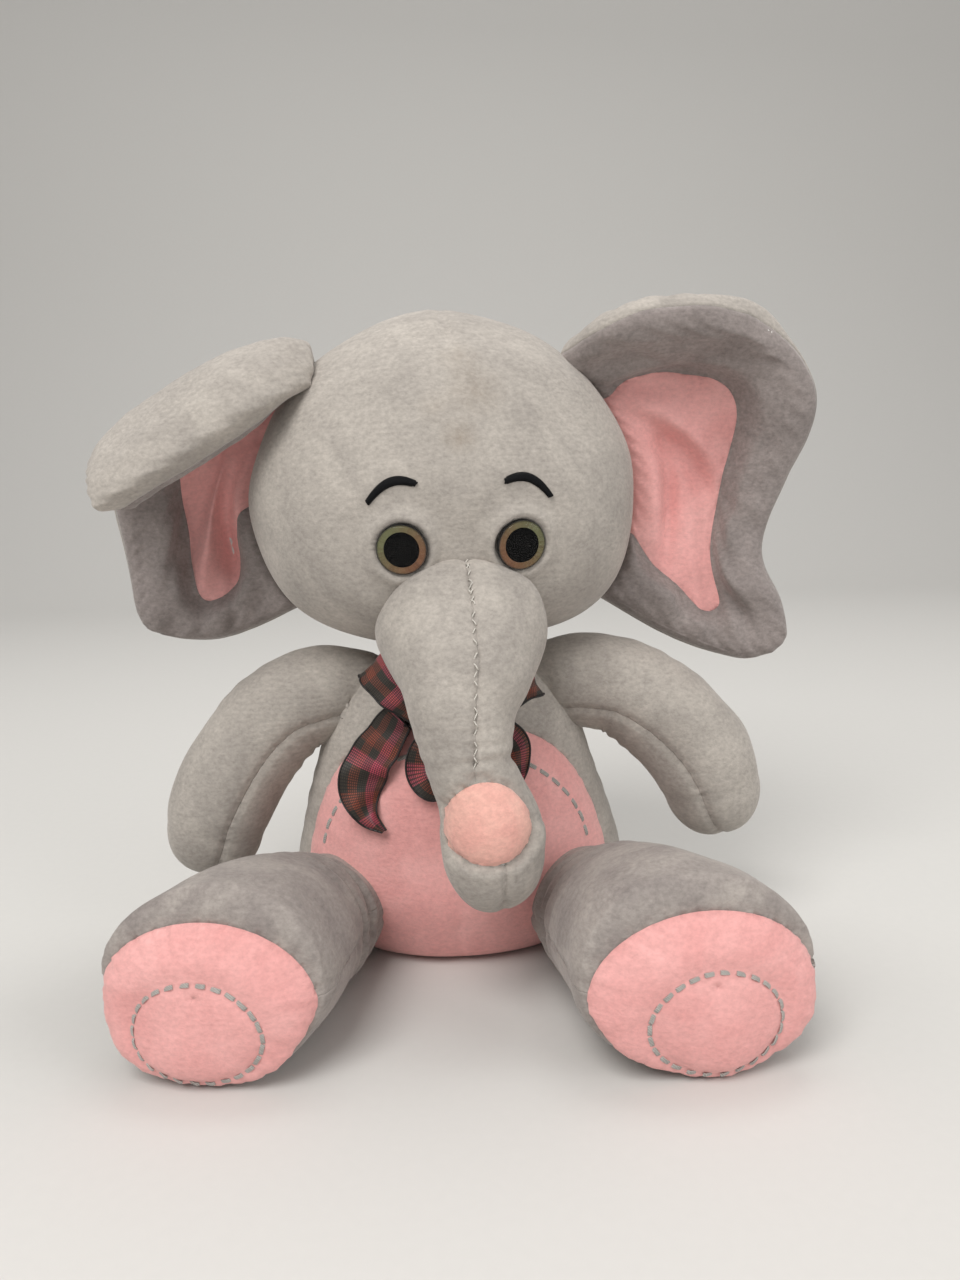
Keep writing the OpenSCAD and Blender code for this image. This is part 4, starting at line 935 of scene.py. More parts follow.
def make_trunk_seam(where, colours):
    """Pale thread that zigzags down the seam on the front of the trunk."""
    s = sizes()
    meet = surface_of("trunk_left_panel_plush", "trunk_right_panel_plush")
    path = np.array(TRUNK_MARKS)[:, 1:3]
    parts = []
    for k, z in enumerate(np.arange(150.0, 91.0, -2.1)):
        y = np.interp(z, path[::-1, 1], path[::-1, 0])
        slope = (np.interp(z + 2, path[::-1, 1], path[::-1, 0]) - np.interp(z - 2, path[::-1, 1], path[::-1, 0])) / 4
        facing = turned(unit([0, -1, min(slope, 1.4)]), s.turn)
        down = turned(unit([0, -min(slope, 1.4), -1]), s.turn)
        sideways = turned(np.array([0.55 if k % 2 else -0.55, 0, 0]), s.turn)
        place = meet(turned(np.array([trunk_seam_x(z), y - 18, z + 18 * min(slope, 1.4)]), s.turn), facing)
        parts.append(satin_stitch(place + facing * 0.25, down + sideways, facing, 2.6, 0.3, 1, 0.26, 0.6))
    piece = make_piece("trunk_seam_thread", *merged(parts), colours["pale_thread"])
    hold(piece, where)


# ---------- ears ----------

# Rows from the bottom edge to the top edge. Each starts with its place on the head, degrees behind the side and
# height as a share of the head's, and goes on outwards in shares of half the head's width, depth and height.
EAR_ROWS = {
    LEFT: [
        [(-2, 0.13), (1.13, 0.08, -0.98), (1.36, 0.05, -1.1), (1.6, 0.05, -1.18), (1.84, 0.08, -1.17)],
        [(0, 0.24), (1.18, 0.16, -0.73), (1.4, 0.14, -0.83), (1.61, 0.07, -0.86), (1.79, 0.03, -0.85)],
        [(1, 0.38), (1.22, 0.22, -0.4), (1.4, 0.2, -0.47), (1.58, 0.08, -0.49), (1.73, 0, -0.48)],
        [(1, 0.53), (1.24, 0.24, 0.0), (1.47, 0.22, -0.03), (1.7, 0.07, -0.04), (1.87, -0.07, -0.03)],
        [(0, 0.67), (1.2, 0.17, 0.36), (1.48, 0.15, 0.36), (1.75, 0, 0.36), (1.94, -0.14, 0.4)],
        [(-3, 0.78), (1.1, 0.03, 0.71), (1.38, -0.03, 0.75), (1.65, -0.14, 0.75), (1.84, -0.24, 0.73)],
        [(-20, 0.86), (0.86, -0.44, 0.86), (1.17, -0.42, 0.93), (1.47, -0.4, 0.93), (1.67, -0.38, 0.88)],
    ],
    RIGHT: [
        [(14, 0.13), (1.07, 0.08, -0.88), (1.27, 0.05, -0.94), (1.48, 0.05, -0.93), (1.68, 0.07, -0.88)],
        [(15, 0.24), (1.12, 0.16, -0.6), (1.31, 0.14, -0.64), (1.51, 0.07, -0.65), (1.68, 0, -0.63)],
        [(16, 0.37), (1.17, 0.21, -0.3), (1.35, 0.19, -0.35), (1.53, 0.1, -0.38), (1.69, -0.03, -0.38)],
        [(16, 0.51), (1.18, 0.21, 0.05), (1.35, 0.17, -0.02), (1.53, 0.07, -0.08), (1.7, -0.1, -0.13)],
        [(15, 0.65), (1.1, 0.1, 0.37), (1.28, 0.07, 0.27), (1.5, 0, 0.14), (1.7, -0.12, 0.0)],
        [(10, 0.77), (0.95, -0.08, 0.62), (1.22, -0.1, 0.48), (1.52, -0.14, 0.27), (1.66, -0.2, 0.07)],
        [(-2, 0.85), (0.88, -0.3, 0.7), (1.22, -0.32, 0.51), (1.54, -0.36, 0.25), (1.66, -0.38, 0.05)],
        [(-14, 0.84), (0.85, -0.54, 0.56), (1.17, -0.6, 0.34), (1.49, -0.63, 0.09), (1.62, -0.56, -0.03)],
        [(-22, 0.77), (0.84, -0.64, 0.36), (1.16, -0.7, 0.13), (1.46, -0.71, -0.06), (1.56, -0.63, -0.12)],
    ],
}
# Outline of the pink inner cloth, as shares of the ear's width from its root and of its height from the bottom
EAR_INNER = {
    LEFT: [
        (-0.1, 0.76), (0.04, 0.76), (0.14, 0.8), (0.34, 0.77), (0.49, 0.75), (0.56, 0.69), (0.54, 0.58), (0.52, 0.48),
        (0.53, 0.37), (0.56, 0.25), (0.57, 0.17), (0.46, 0.14), (0.32, 0.19), (0.16, 0.22), (0.04, 0.27), (-0.1, 0.3),
    ],
    RIGHT: [
        (-0.1, 0.3), (0.05, 0.32), (0.18, 0.26), (0.22, 0.19), (0.28, 0.13), (0.42, 0.1), (0.55, 0.11), (0.57, 0.2),
        (0.56, 0.29), (0.6, 0.4), (0.64, 0.5), (0.6, 0.62), (0.4, 0.7), (0.2, 0.72), (-0.1, 0.74),
    ],
}
# Where the outer edge lies at places from the bottom up, as shares of the ear's width
EAR_EDGE = {
    LEFT: [0.9, 1.0, 0.985, 0.9, 0.85, 0.86, 0.915, 0.94, 0.93, 0.9, 0.84],
    RIGHT: [0.97, 1.0, 1.0, 1.0, 1.0, 1.0, 1.0, 1.0, 1.0, 1.0, 1.0],
}
# Folds on the ear's front: from, to, half width and height, in the same shares and in millimetres
EAR_FOLDS = {
    LEFT: [
        ((0.05, 0.68), (0.12, 0.3), 5.0, 6.4), ((0.2, 0.62), (0.22, 0.26), 2.6, -3.9), ((0.1, 0.74), (0.5, 0.52), 4.5, 4.5),
        ((0.14, 0.66), (0.5, 0.42), 4.0, -3.6), ((0.34, 0.4), (0.42, 0.2), 5.0, 2.5), ((0.6, 0.47), (0.62, 0.4), 4.0, -2.8),
        ((0.72, 0.4), (0.84, 0.36), 4.5, -3.4), ((0.66, 0.2), (0.74, 0.13), 4.0, -3.4), ((0.58, 0.3), (0.86, 0.22), 5.0, 3.1),
        ((0.1, 0.14), (0.34, 0.08), 5.0, 3.4), ((0.3, 0.16), (0.36, 0.02), 4.0, -3.1), ((0.5, 0.1), (0.54, 0.02), 4.0, -2.5),
        ((0.04, 0.96), (0.2, 0.88), 3.2, -3.1), ((0.16, 0.98), (0.28, 0.86), 3.0, -2.2), ((0.7, 0.6), (0.8, 0.8), 10, 2.5),
    ],
    RIGHT: [
        ((0.24, 0.42), (0.52, 0.14), 5.0, 7.0), ((0.28, 0.3), (0.3, 0.14), 3.6, -5.0), ((0.08, 0.46), (0.14, 0.22), 4.0, 5.6),
        ((0.6, 0.36), (0.66, 0.16), 4.5, -3.1), ((0.76, 0.34), (0.8, 0.1), 6.0, 3.1), ((0.88, 0.34), (0.9, 0.14), 5.0, -2.5),
        ((0.2, 0.1), (0.5, 0.04), 5.0, 3.1), ((0.52, 0.1), (0.56, 0.01), 4.0, -3.4), ((0.3, 0.08), (0.34, 0.01), 3.5, -2.5),
        ((0.7, 0.08), (0.76, 0.01), 4.0, -2.8), ((0.1, 0.1), (0.2, 0.02), 4.0, -2.8), ((0.1, 0.86), (0.2, 0.78), 3.0, -2.2),
    ],
}
EAR_SPAN = {LEFT: (64.0, 128.0), RIGHT: (64.0, 165.0)}
# How far the outer corners are drawn in, across and up, at the bottom and at the top
EAR_CORNERS = {LEFT: ((0.26, 0.12), (0.45, 0.4)), RIGHT: ((0.3, 0.12), (0.26, 0.1))}


def head_side(lon, z):
    s = sizes()
    share = s.head_depth / s.head_width
    half = float(head_half(z))
    return np.array([half * math.cos(math.radians(lon)), share * half * math.sin(math.radians(lon)), z])


def ear_middle(side, u, v):
    """Middle surface of an ear, u from its root outwards and v from the bottom up."""
    s = sizes()
    middle = np.array([0, 0, head_bottom() + s.head_height / 2])
    half = np.array([s.head_width, s.head_depth, s.head_height]) / 2
    rows = []
    for (lon, high), *rest in EAR_ROWS[side]:
        root = head_side(lon, head_bottom() + high * s.head_height)
        root[0] *= side
        places = [middle + np.array([side * x, y, z]) * half for x, y, z in rest]
        rows.append([turned(root, s.turn), *places])
    rows = np.array(rows)
    across = np.stack([curve(row, u) for row in rows])
    return curve(across, v)


def ear_at(side, u, v):
    """Middle surface of an ear at any places: looked up between the points of a fine grid."""
    count = 120
    fine = ear_middle(side, np.linspace(0, 1, count), np.linspace(0, 1, count))
    a, b = np.clip(u, 0, 1) * (count - 1), np.clip(v, 0, 1) * (count - 1)
    i, j = np.minimum(a.astype(int), count - 2), np.minimum(b.astype(int), count - 2)
    a, b = (a - i)[..., None], (b - j)[..., None]
    low = fine[j, i] * (1 - a) + fine[j, i + 1] * a
    high = fine[j + 1, i] * (1 - a) + fine[j + 1, i + 1] * a
    return low * (1 - b) + high * b


def rounded_corners(side, v, u):
    """Draws an ear's two outer corners in, as a square's corners go when it becomes a disc, and shapes its edge."""
    for place, (across, up) in zip((0, 1), EAR_CORNERS[side]):
        from_end = 1 - v if place else v
        a = np.clip((u - 1 + across) / across, 0, 1)
        b = np.clip(1 - from_end / up, 0, 1)
        u = np.where((a > 0) & (b > 0), 1 - across + across * a * np.sqrt(1 - b * b / 2), u)
        moved = up * (1 - b * np.sqrt(1 - a * a / 2))
        from_end = np.where((a > 0) & (b > 0), moved, from_end)
        v = 1 - from_end if place else from_end
    edge = curve(np.array(EAR_EDGE[side])[:, None], v)[..., 0]
    return v, u * (1 - (1 - edge) * smooth_step((u - 0.35) / 0.6))


def line_distance(u, v, start, end, span):
    """Distance in millimetres on the flat ear from the line between two places, and the share along it."""
    p = np.stack([u * span[0], v * span[1]], -1)
    a, b = np.array(start) * span, np.array(end) * span
    t = np.clip((p - a) @ (b - a) / ((b - a) @ (b - a)), 0, 1)
    return np.linalg.norm(p - a - t[..., None] * (b - a), axis=-1), t


def outline_distance(u, v, outline, span):
    """Distance in millimetres from a closed outline, below 0 inside it."""
    marks = curve(np.array(outline + outline[:1]), np.linspace(0, 1, 90))
    best = np.full(u.shape, 1e9)
    inside = np.zeros(u.shape, bool)
    for (u0, v0), (u1, v1) in zip(marks[:-1], marks[1:]):
        if abs(u0 - u1) + abs(v0 - v1) < 1e-9:
            continue
        best = np.minimum(best, line_distance(u, v, (u0, v0), (u1, v1), span)[0])
        if v0 != v1:
            crosses = ((v0 > v) != (v1 > v)) & (u < (u1 - u0) * (v - v0) / (v1 - v0) + u0)
            inside ^= crosses
    return np.where(inside, -best, best)


def make_ear(side, colours):
    s = sizes()
    name = SIDE_NAME[side]
    rows, columns = 132, 84
    even = lambda n: 0.5 - 0.5 * np.cos(np.linspace(0, math.pi, n))
    u_line = 0.35 * np.linspace(0, 1, columns) + 0.65 * even(columns)
    v_line = 0.35 * np.linspace(0, 1, rows) + 0.65 * even(rows)
    span = EAR_SPAN[side]
    v, u = rounded_corners(side, *np.meshgrid(v_line, u_line, indexing="ij"))
    sheet = ear_at(side, u, v)
    faces = grid_faces(rows, columns)
    flat = sheet.reshape(-1, 3)
    normal = normals_of(flat, faces).reshape(sheet.shape)
    if normal[..., 1].mean() > 0:
        normal = -normal
    cell_v, cell_u = np.meshgrid(v_line, u_line, indexing="ij")
    to_edge = np.minimum(
        np.minimum((1 - cell_u) * span[0], cell_u * span[0] * 1.6), np.minimum(cell_v, 1 - cell_v) * span[1]
    )
    pink = outline_distance(u, v, EAR_INNER[side], span)
    full = 3.4 + (s.ear_thickness / 2 - 3.4) * smooth_step(np.clip(pink / 9, 0, 1))
    full = np.where(pink < 0, 3.0 + 0.4 * np.exp(-((pink / 5) ** 2)), full)
    half = full * np.sqrt(1 - (1 - np.clip(to_edge / (full * 1.15), 0, 1)) ** 2)
    folds = np.zeros(u.shape)
    for start, end, width, height in EAR_FOLDS[side]:
        d, t = line_distance(u, v, start, end, span)
        folds += height * np.exp(-((d / width) ** 2)) * np.sin(math.pi * (0.12 + 0.76 * t))
    wobble = lumps(flat, 26, 50 + side).reshape(u.shape) * 0.7 + lumps(flat, 11, 53 + side).reshape(u.shape) * 0.22
    rooted = np.clip(u * span[0] / 9, 0.15, 1)
    pull = seam_pull(pink, (u + v) * 90, s.seam_depth * 0.8, 9)
    edge_pull = seam_pull(np.maximum(to_edge - 2.0, 0), (u + v) * 90, 0.35, 4) * (v > 0.02)
    gathers = np.sin((u * span[0] + v * span[1]) * 2 * math.pi / 7.3) * np.exp(-((to_edge - 5) / 4) ** 2) * 0.35
    spoke = np.arctan2((v - 0.5) * span[1], (u - 0.42) * span[0])
    puckers = (1 + np.sin(spoke * 23 + 1.4 * np.sin(spoke * 5))) * np.exp(-(((pink - 6.5) / 6.5) ** 2))
    puckers *= np.clip(1.2 - 1.6 * v, 0, 1) * np.clip(to_edge / 3, 0, 1)
    front_pull = np.where(half > 1, pull + edge_pull - gathers, 0)
    back_pull = np.where(half > 1, edge_pull - gathers, 0)
    front = sheet + normal * ((folds + 1.1 * puckers + wobble) * rooted + half - front_pull)[..., None]
    back = sheet + normal * ((0.55 * folds + wobble) * rooted - half * 1.05 + back_pull)[..., None]
    front_points, back_points = front.reshape(-1, 3), back.reshape(-1, 3)
    outward = np.sign((normals_of(front_points, faces) * normal.reshape(-1, 3)).sum(1).mean())
    front_faces = faces if outward > 0 else [f[::-1] for f in faces]
    back_faces = [f[::-1] for f in front_faces]
    shaped = np.hstack([front_points, normals_of(front_points, front_faces), pink.reshape(-1, 1)])
    shaped, rim, inner = cut(shaped, front_faces, 6)
    behind = np.hstack([back_points, normals_of(back_points, back_faces)])
    root = ear_middle(side, np.array([0.0]), np.array([0.5]))[0, 0]
    tip = ear_middle(side, np.array([0.3]), np.array([0.5]))[0, 0]
    out = unit(tip - root)
    where = ("head", f"{name}_ear", root - out * 2, root + out * 14)
    thin = 1.1
    sew(f"{name}_ear_back", behind, back_faces, colours["ear_back"], where, thin)
    sew(f"{name}_ear_rim", shaped, rim, colours["ear"], where, thin)
    sew(f"{name}_ear_inner", shaped, inner, colours["pink"], where, thin)
    make_wadding(side, sheet, normal, half, (folds * 0.75 + wobble) * rooted, where, colours)


def make_wadding(side, sheet, normal, half, shift, where, colours):
    """The flat wadding inside an ear."""
    step = 3
    cells = (slice(2, -2, step), slice(2, -2, step))
    middle, n = sheet[cells], normal[cells]
    thick = np.maximum(half[cells] - 1.9, 0.25)[..., None]
    lift = shift[cells][..., None]
    rows, columns = middle.shape[:2]
    top = (middle + n * (lift + thick)).reshape(-1, 3)
    low = (middle + n * (lift * 0.9 - thick)).reshape(-1, 3)
    faces = grid_faces(rows, columns)
    size = rows * columns
    edges = {(i, j) for f in faces for i, j in zip(f, f[1:] + f[:1])}
    rim = [[j, i, i + size, j + size] for i, j in edges if (j, i) not in edges]
    name = SIDE_NAME[side]
    piece = make_piece(
        f"{name}_ear_wadding_fibre", np.vstack([top, low]), faces + [[i + size for i in f[::-1]] for f in faces] + rim,
        colours["fibre"],
    )
    hold(piece, where, f"{name}_ear_wadding")


# ---------- tail ----------


def make_tail(colours):
    low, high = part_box("tail_cover")
    start, end = low.y / MM, high.y / MM
    z = (low.z + high.z) / 2 / MM
    tip_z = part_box("tail_tuft")[0].z / MM + 3
    line = [(start + 1, z + 2, 4.2), (start + 8, z + 2, 4.6), ((start + end) / 2, z + 0.5, 4.2), (end - 4, z - 3.0, 3.6)]
    points, faces, along, around, _ = limb_surface([(0, y, h, r, r) for y, h, r in line], (0, 0, 1), 44, 32, 1.5)
    seam = seam_pull(np.sin(around + math.pi / 2) * 4.2, along, 0.4, 2)
    shaped = push(points, faces[:-1], lumps(points, 8, 60) * 0.25 - seam)
    piece = make_piece("tail_cover_plush", shaped, faces, colours["grey"])
    anchor = np.array([0, start + 3, z])
    where = ("torso", "tail", anchor - [0, 3, 0], anchor + [0, 8, 0])
    hold(piece, where, "tail_cover")
    root = np.array([0, end - 5, z - 3.2])
    tip = np.array([0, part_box("tail_tuft")[1].y / MM - 1, tip_z])
    rng = np.random.default_rng(7)
    parts = []
    for k in range(42):
        ring = math.sqrt((k + 0.5) / 42)
        angle = k * GOLDEN_ANGLE
        spread = np.array([math.cos(angle), 0.25 * math.sin(angle), math.sin(angle)])
        t = np.linspace(0, 1, 8)
        bulge = np.sin(math.pi * t**0.8) * 2.6 * ring + 2.2 * ring
        sway = rng.normal(size=3) * 0.5
        path = root + np.outer(t, (tip - root) * rng.uniform(0.86, 1.0))
        path = path + np.outer(bulge, spread) + np.outer(t * t, sway)
        parts.append(tube(path, 0.62 * (1 - 0.7 * t**2), 6))
    piece = make_piece("tail_tuft_yarn", *merged(parts), colours["yarn"])
    hold(piece, "tail", "tail_tuft")


# ---------- ribbon ----------


def ribbon_strip(name, node, centre, across, width, colours, slanted=0.0, curl=0.0):
    """A strip of ribbon with a cord along each edge. centre, across and width hold a value at each mark."""
    count, columns = 60, 13
    t = np.linspace(0, 1, count)
    line = curve(centre, t)
    wide = curve(np.asarray(width, float)[:, None], t)[:, 0]
    along = unit(np.gradient(line, axis=0))
    side = curve(across, t)
    side = unit(side - along * (side * along).sum(1)[:, None])
    up = np.cross(side, along)
    step = np.concatenate([[0], np.cumsum(np.linalg.norm(np.diff(line, axis=0), axis=1))])
    share = np.linspace(-0.5, 0.5, columns)
    slant = slanted * share[None, :] * np.clip((t[:, None] - 0.8) / 0.2, 0, 1)
    crumple = 0.5 * np.sin(step[:, None] * 0.55 + share[None, :] * 5) + curl * (share[None, :] ** 2) * 4
    points = (
        line[:, None]
        + side[:, None] * (share[None, :] * wide[:, None])[..., None]
        + along[:, None] * (slant * wide[:, None])[..., None]
        + up[:, None] * crumple[..., None]
    )
    strip = np.stack([np.broadcast_to(share + 0.5, (count, columns)), np.broadcast_to(step[:, None], (count, columns)) * 0.001], -1)
    flat = points.reshape(-1, 3)
    piece = make_piece(name, flat, grid_faces(count, columns), colours["plaid"], strip=strip.reshape(-1, 2))
    edges = merged([tube(points[:, 0], 0.42, 6), tube(points[:, -1], 0.42, 6)])
    cord = make_piece(f"{name}_edges", *edges, colours["ribbon_edge"])
    hold(piece, "torso", node)
    hold(cord, "torso")
    quads = np.array(grid_faces(count, columns))
    # The declared length is the strip's own area over its width, so it is shorter than the centre line
    flat_width = max(float(sizes().ribbon_width), 10.0)


def make_ribbon(colours):
    """One length of ribbon: the band round the neck, a knot, two loops and three hanging ends."""
    knot = np.array([-2.0, -50.5, 99.0])

    def marks(list_of):
        return np.array(list_of, float)

    left = marks([
        knot + [4, -1.5, 0], (12, -55, 103), (21, -55, 108), (29.5, -51.5, 111.5), (32.5, -47.5, 112), (29.5, -44.5, 110.5),
        (21, -44, 107), (11, -46, 102),
    ])
    ribbon_strip(
        "bow_left_loop_ribbon", "bow_left_loop", left, marks([(-0.4, -0.3, 1)] * 4 + [(-0.3, -0.5, 1)] * 4),
        [5, 8, 10.5, 10.5, 10.5, 10.5, 8, 5], colours, curl=0.5,
    )
    right = marks([
        knot + [-4, -1.5, 0], (-12, -56, 105), (-19, -56.5, 112), (-25, -53, 118.5), (-27, -48, 121), (-25.5, -44, 118.5),
        (-19, -43.5, 112), (-10, -46, 104),
    ])
    ribbon_strip(
        "bow_right_loop_ribbon", "bow_right_loop", right, marks([(0.75, -0.2, 0.75)] * 8),
        [5, 10, 14, 15, 15, 14, 10, 5], colours, curl=0.5,
    )
    meet = surface_of("tummy_panel_plush", "torso_left_panel_plush", "torso_right_panel_plush")

    def on_tummy(x, z, lift):
        normal = normal_on(torso_front, x, z)
        return meet(torso_front(x, z), normal) + normal * lift

    tail = marks([
        knot + [-3, -1, -2], on_tummy(-15.5, 99, 6), on_tummy(-23, 91, 6), on_tummy(-28.5, 81, 6.2),
        on_tummy(-31.5, 71, 5.8), on_tummy(-29.5, 62, 5.2), on_tummy(-24, 57, 4.4),
    ])
    ribbon_strip(
        "bow_right_tail_ribbon", "bow_right_tail", tail,
        marks([
            (0.6, -0.1, 0.8), (0.8, -0.25, 0.55), (0.9, -0.3, 0.3), (1, -0.3, 0.2), (1, 0.1, 0.2), (0.8, 0.3, 0.5),
            (0.6, 0.3, 0.7),
        ]),
        [5, 12, 17, 18, 16, 8, 1.5], colours, 0.3, 1.0,
    )
    middle = marks([
        knot + [-1, -0.5, -4], on_tummy(-4, 92, 6), on_tummy(-7.5, 86, 5), on_tummy(-8.5, 79, 4.4), on_tummy(-5.5, 74, 4),
        on_tummy(-1, 72, 3.6),
    ])
    ribbon_strip(
        "bow_middle_tail_ribbon", "bow_middle_tail", middle, marks([(1, -0.2, 0.2)] * 3 + [(1, -0.1, 0.4)] * 3),
        [5, 10, 14, 15, 12, 6], colours, 0.4, -0.8,
    )
    last = marks([
        knot + [3, -1, -4], on_tummy(10, 94, 5.6), on_tummy(17, 91, 5.4), on_tummy(21.5, 86, 4.8), on_tummy(23, 79, 4.2),
        on_tummy(23.5, 72.5, 3.6),
    ])
    ribbon_strip(
        "bow_left_tail_ribbon", "bow_left_tail", last, marks([(0.9, 0.1, 0.4)] * 3 + [(1, 0.35, 0.1)] * 3),
        [5, 9, 12, 12.5, 9, 2.5], colours, -0.5, 0.6,
    )
    make_knot(knot, colours)
    make_band(colours)


def make_knot(knot, colours):
    """The knot: a short wrap of ribbon with creases across it."""
    t = np.linspace(0.02, math.pi - 0.02, 34)[:, None]
    p = np.linspace(0, 2 * math.pi, 56, endpoint=False)[None, :]
    fold = 1 + 0.09 * np.cos(7 * p + 1.5 * np.cos(t)) + 0.04 * np.cos(12 * p)
    pinch = 0.86 + 0.14 * np.sin(t) ** 2
    points = np.stack([6.2 * np.sin(t) * np.cos(p) * fold, 4.2 * np.sin(t) * np.sin(p) * fold, 5.4 * np.cos(t) * pinch + 0 * p], -1)
    strip = np.stack([np.broadcast_to(t / math.pi, (34, 56)), np.broadcast_to(p / math.pi * 0.02, (34, 56))], -1)
    faces = [f[::-1] for f in grid_faces(34, 56, True)]
    ends = [list(range(56)), list(range(33 * 56, 34 * 56))[::-1]]
    piece = make_piece("bow_knot_ribbon", points.reshape(-1, 3) + knot, faces + ends, colours["plaid"], strip=strip.reshape(-1, 2))
    hold(piece, "torso", "bow_knot")


def make_band(colours):
    """The ribbon gathered round the neck, under the chin."""
    top = sizes().torso_height + 1.6
    half = [
        (5, -45, 103.5), (12, -40, 106.5), (19, -29, 111.5), (23.5, -14, top), (24.3, 0, top + 0.5), (18, 16.8, top + 0.6),
    ]
    route = [(x - 1, y, z) for x, y, z in half] + [(0, 24, top + 0.7)] + [(-x - 1, y, z) for x, y, z in half[::-1]]
    behind = len(route) - 8
    ribbon_strip(
        "neck_ribbon_band", "neck_ribbon", np.array(route, float),
        np.array([(0, -0.35, 1.0)] * 4 + [(0, 0, 1.0)] * behind + [(0, -0.35, 1.0)] * 4),
        [6, 7, 8, 8.5] + [9] * behind + [8.5, 8, 7, 6], colours,
        curl=1.0,
    )


# ---------- finishes ----------


GROUP_OUTPUTS = {"Color": "NodeSocketColor", "Roughness": "NodeSocketFloat", "Height": "NodeSocketFloat"}


def new_group(name, inputs):
    """A shader node group with inputs {name: (type, default)} and the three outputs."""
    tree = bpy.data.node_groups.new(name, "ShaderNodeTree")
    for label, (kind, default) in inputs.items():
        socket = tree.interface.new_socket(name=label, in_out="INPUT", socket_type=kind)
        socket.default_value = default
    for label, kind in GROUP_OUTPUTS.items():
        tree.interface.new_socket(name=label, in_out="OUTPUT", socket_type=kind)
    return tree, tree.nodes.new("NodeGroupInput"), tree.nodes.new("NodeGroupOutput")


def add(tree, kind, **values):
    """Adds a node, sets its properties and its inputs, and links inputs given as sockets."""
    node = tree.nodes.new(kind)
    inputs = values.pop("inputs", {})
    for key, value in values.items():
        setattr(node, key, value)
    for key, value in inputs.items():
        socket = node.inputs[key]
        if isinstance(value, bpy.types.NodeSocket):
            tree.links.new(value, socket)
        else:
            socket.default_value = value
    return node


def maths(tree, operation, a, b=0.0, clamp=False):
    return add(tree, "ShaderNodeMath", operation=operation, use_clamp=clamp, inputs={0: a, 1: b}).outputs[0]


def mixed(tree, factor, a, b, blend="MIX"):
    node = add(tree, "ShaderNodeMix", data_type="RGBA", blend_type=blend, inputs={"Factor": factor})
    for key, value in ((6, a), (7, b)):
        if isinstance(value, bpy.types.NodeSocket):
            tree.links.new(value, node.inputs[key])
        else:
            node.inputs[key].default_value = value
    return node.outputs[2]


def ramp(tree, factor, stops, interpolation="LINEAR"):
    node = add(tree, "ShaderNodeValToRGB", inputs={"Fac": factor})
    node.color_ramp.interpolation = interpolation
    while len(node.color_ramp.elements) < len(stops):
        node.color_ramp.elements.new(0.5)
    for element, (place, value) in zip(node.color_ramp.elements, stops):
        element.position = place
        element.color = value if isinstance(value, tuple) else (value, value, value, 1)
    return node.outputs["Color"]


def object_place(tree):
    return add(tree, "ShaderNodeTexCoord").outputs["Object"]

def noise(tree, place, scale, detail, **more):
    """Noise from 0 to 1, scale in waves a metre."""
    inputs = {"Vector": place, "Scale": scale, "Detail": detail, **more}
    return add(tree, "ShaderNodeTexNoise", inputs=inputs).outputs["Fac"]

def scaled(tree, value, by, plus):
    return maths(tree, "ADD", maths(tree, "MULTIPLY", value, by), plus)

def grey_of(tree, value):
    return add(tree, "ShaderNodeCombineColor", inputs={"Red": value, "Green": value, "Blue": value}).outputs[0]

def pile_group():
    """Short plush pile: patches where it lies over, fine tufts, and the faint rows of the knit under it."""
    tree, given, out = new_group(
        "plush_pile",
        {
            "Light": ("NodeSocketColor", (0.5, 0.5, 0.5, 1)),
            "Dark": ("NodeSocketColor", (0.3, 0.3, 0.3, 1)),
            "Patch Size": ("NodeSocketFloat", 26.0),
            "Rows": ("NodeSocketFloat", 0.3),
            "Tufts": ("NodeSocketFloat", 0.5),
        },
    )
    place = object_place(tree)
    per_metre = maths(tree, "DIVIDE", 1000.0, given.outputs["Patch Size"])
    patches = noise(tree, place, per_metre, 3.5, Roughness=0.55, Distortion=0.9)
    patches = ramp(tree, patches, [(0.36, 0.0), (0.64, 1.0)])
    brushed = noise(tree, place, 210.0, 4.0, Roughness=0.62)
    stretch = add(tree, "ShaderNodeMapping", inputs={"Vector": place, "Scale": (0.8, 0.8, 1.15)}).outputs[0]
    tufts = noise(tree, stretch, 620.0, 4.0, Roughness=0.68)
    knit = {"Vector": place, "Scale": 150.0, "Distortion": 5.0, "Detail": 2.0, "Detail Scale": 1.6}
    rows = add(tree, "ShaderNodeTexWave", wave_type="BANDS", bands_direction="Z", inputs=knit).outputs["Fac"]
    where_rows = noise(tree, place, 28.0, 1.0)
    where_rows = ramp(tree, where_rows, [(0.45, 0.0), (0.62, 1.0)])
    rows = maths(tree, "MULTIPLY", maths(tree, "MULTIPLY", rows, where_rows), given.outputs["Rows"])
    rows = maths(tree, "MULTIPLY", rows, 0.6)
    lay = maths(tree, "ADD", maths(tree, "MULTIPLY", patches, 0.62), maths(tree, "MULTIPLY", brushed, 0.42))
    lay = maths(tree, "SUBTRACT", lay, maths(tree, "MULTIPLY", rows, 0.55), True)
    base = mixed(tree, lay, given.outputs["Dark"], given.outputs["Light"])
    grain = maths(tree, "MULTIPLY", maths(tree, "SUBTRACT", tufts, 0.5), given.outputs["Tufts"])
    grain = scaled(tree, grain, 1.7, 1.0)
    shade = grey_of(tree, grain)
    tree.links.new(mixed(tree, 1.0, base, shade, "MULTIPLY"), out.inputs["Color"])
    rough = scaled(tree, lay, -0.12, 0.95)
    tree.links.new(rough, out.inputs["Roughness"])
    height = maths(tree, "ADD", maths(tree, "MULTIPLY", tufts, 0.55), maths(tree, "MULTIPLY", brushed, 0.45))
    height = maths(tree, "SUBTRACT", height, maths(tree, "MULTIPLY", rows, 0.5))
    tree.links.new(height, out.inputs["Height"])
    return tree


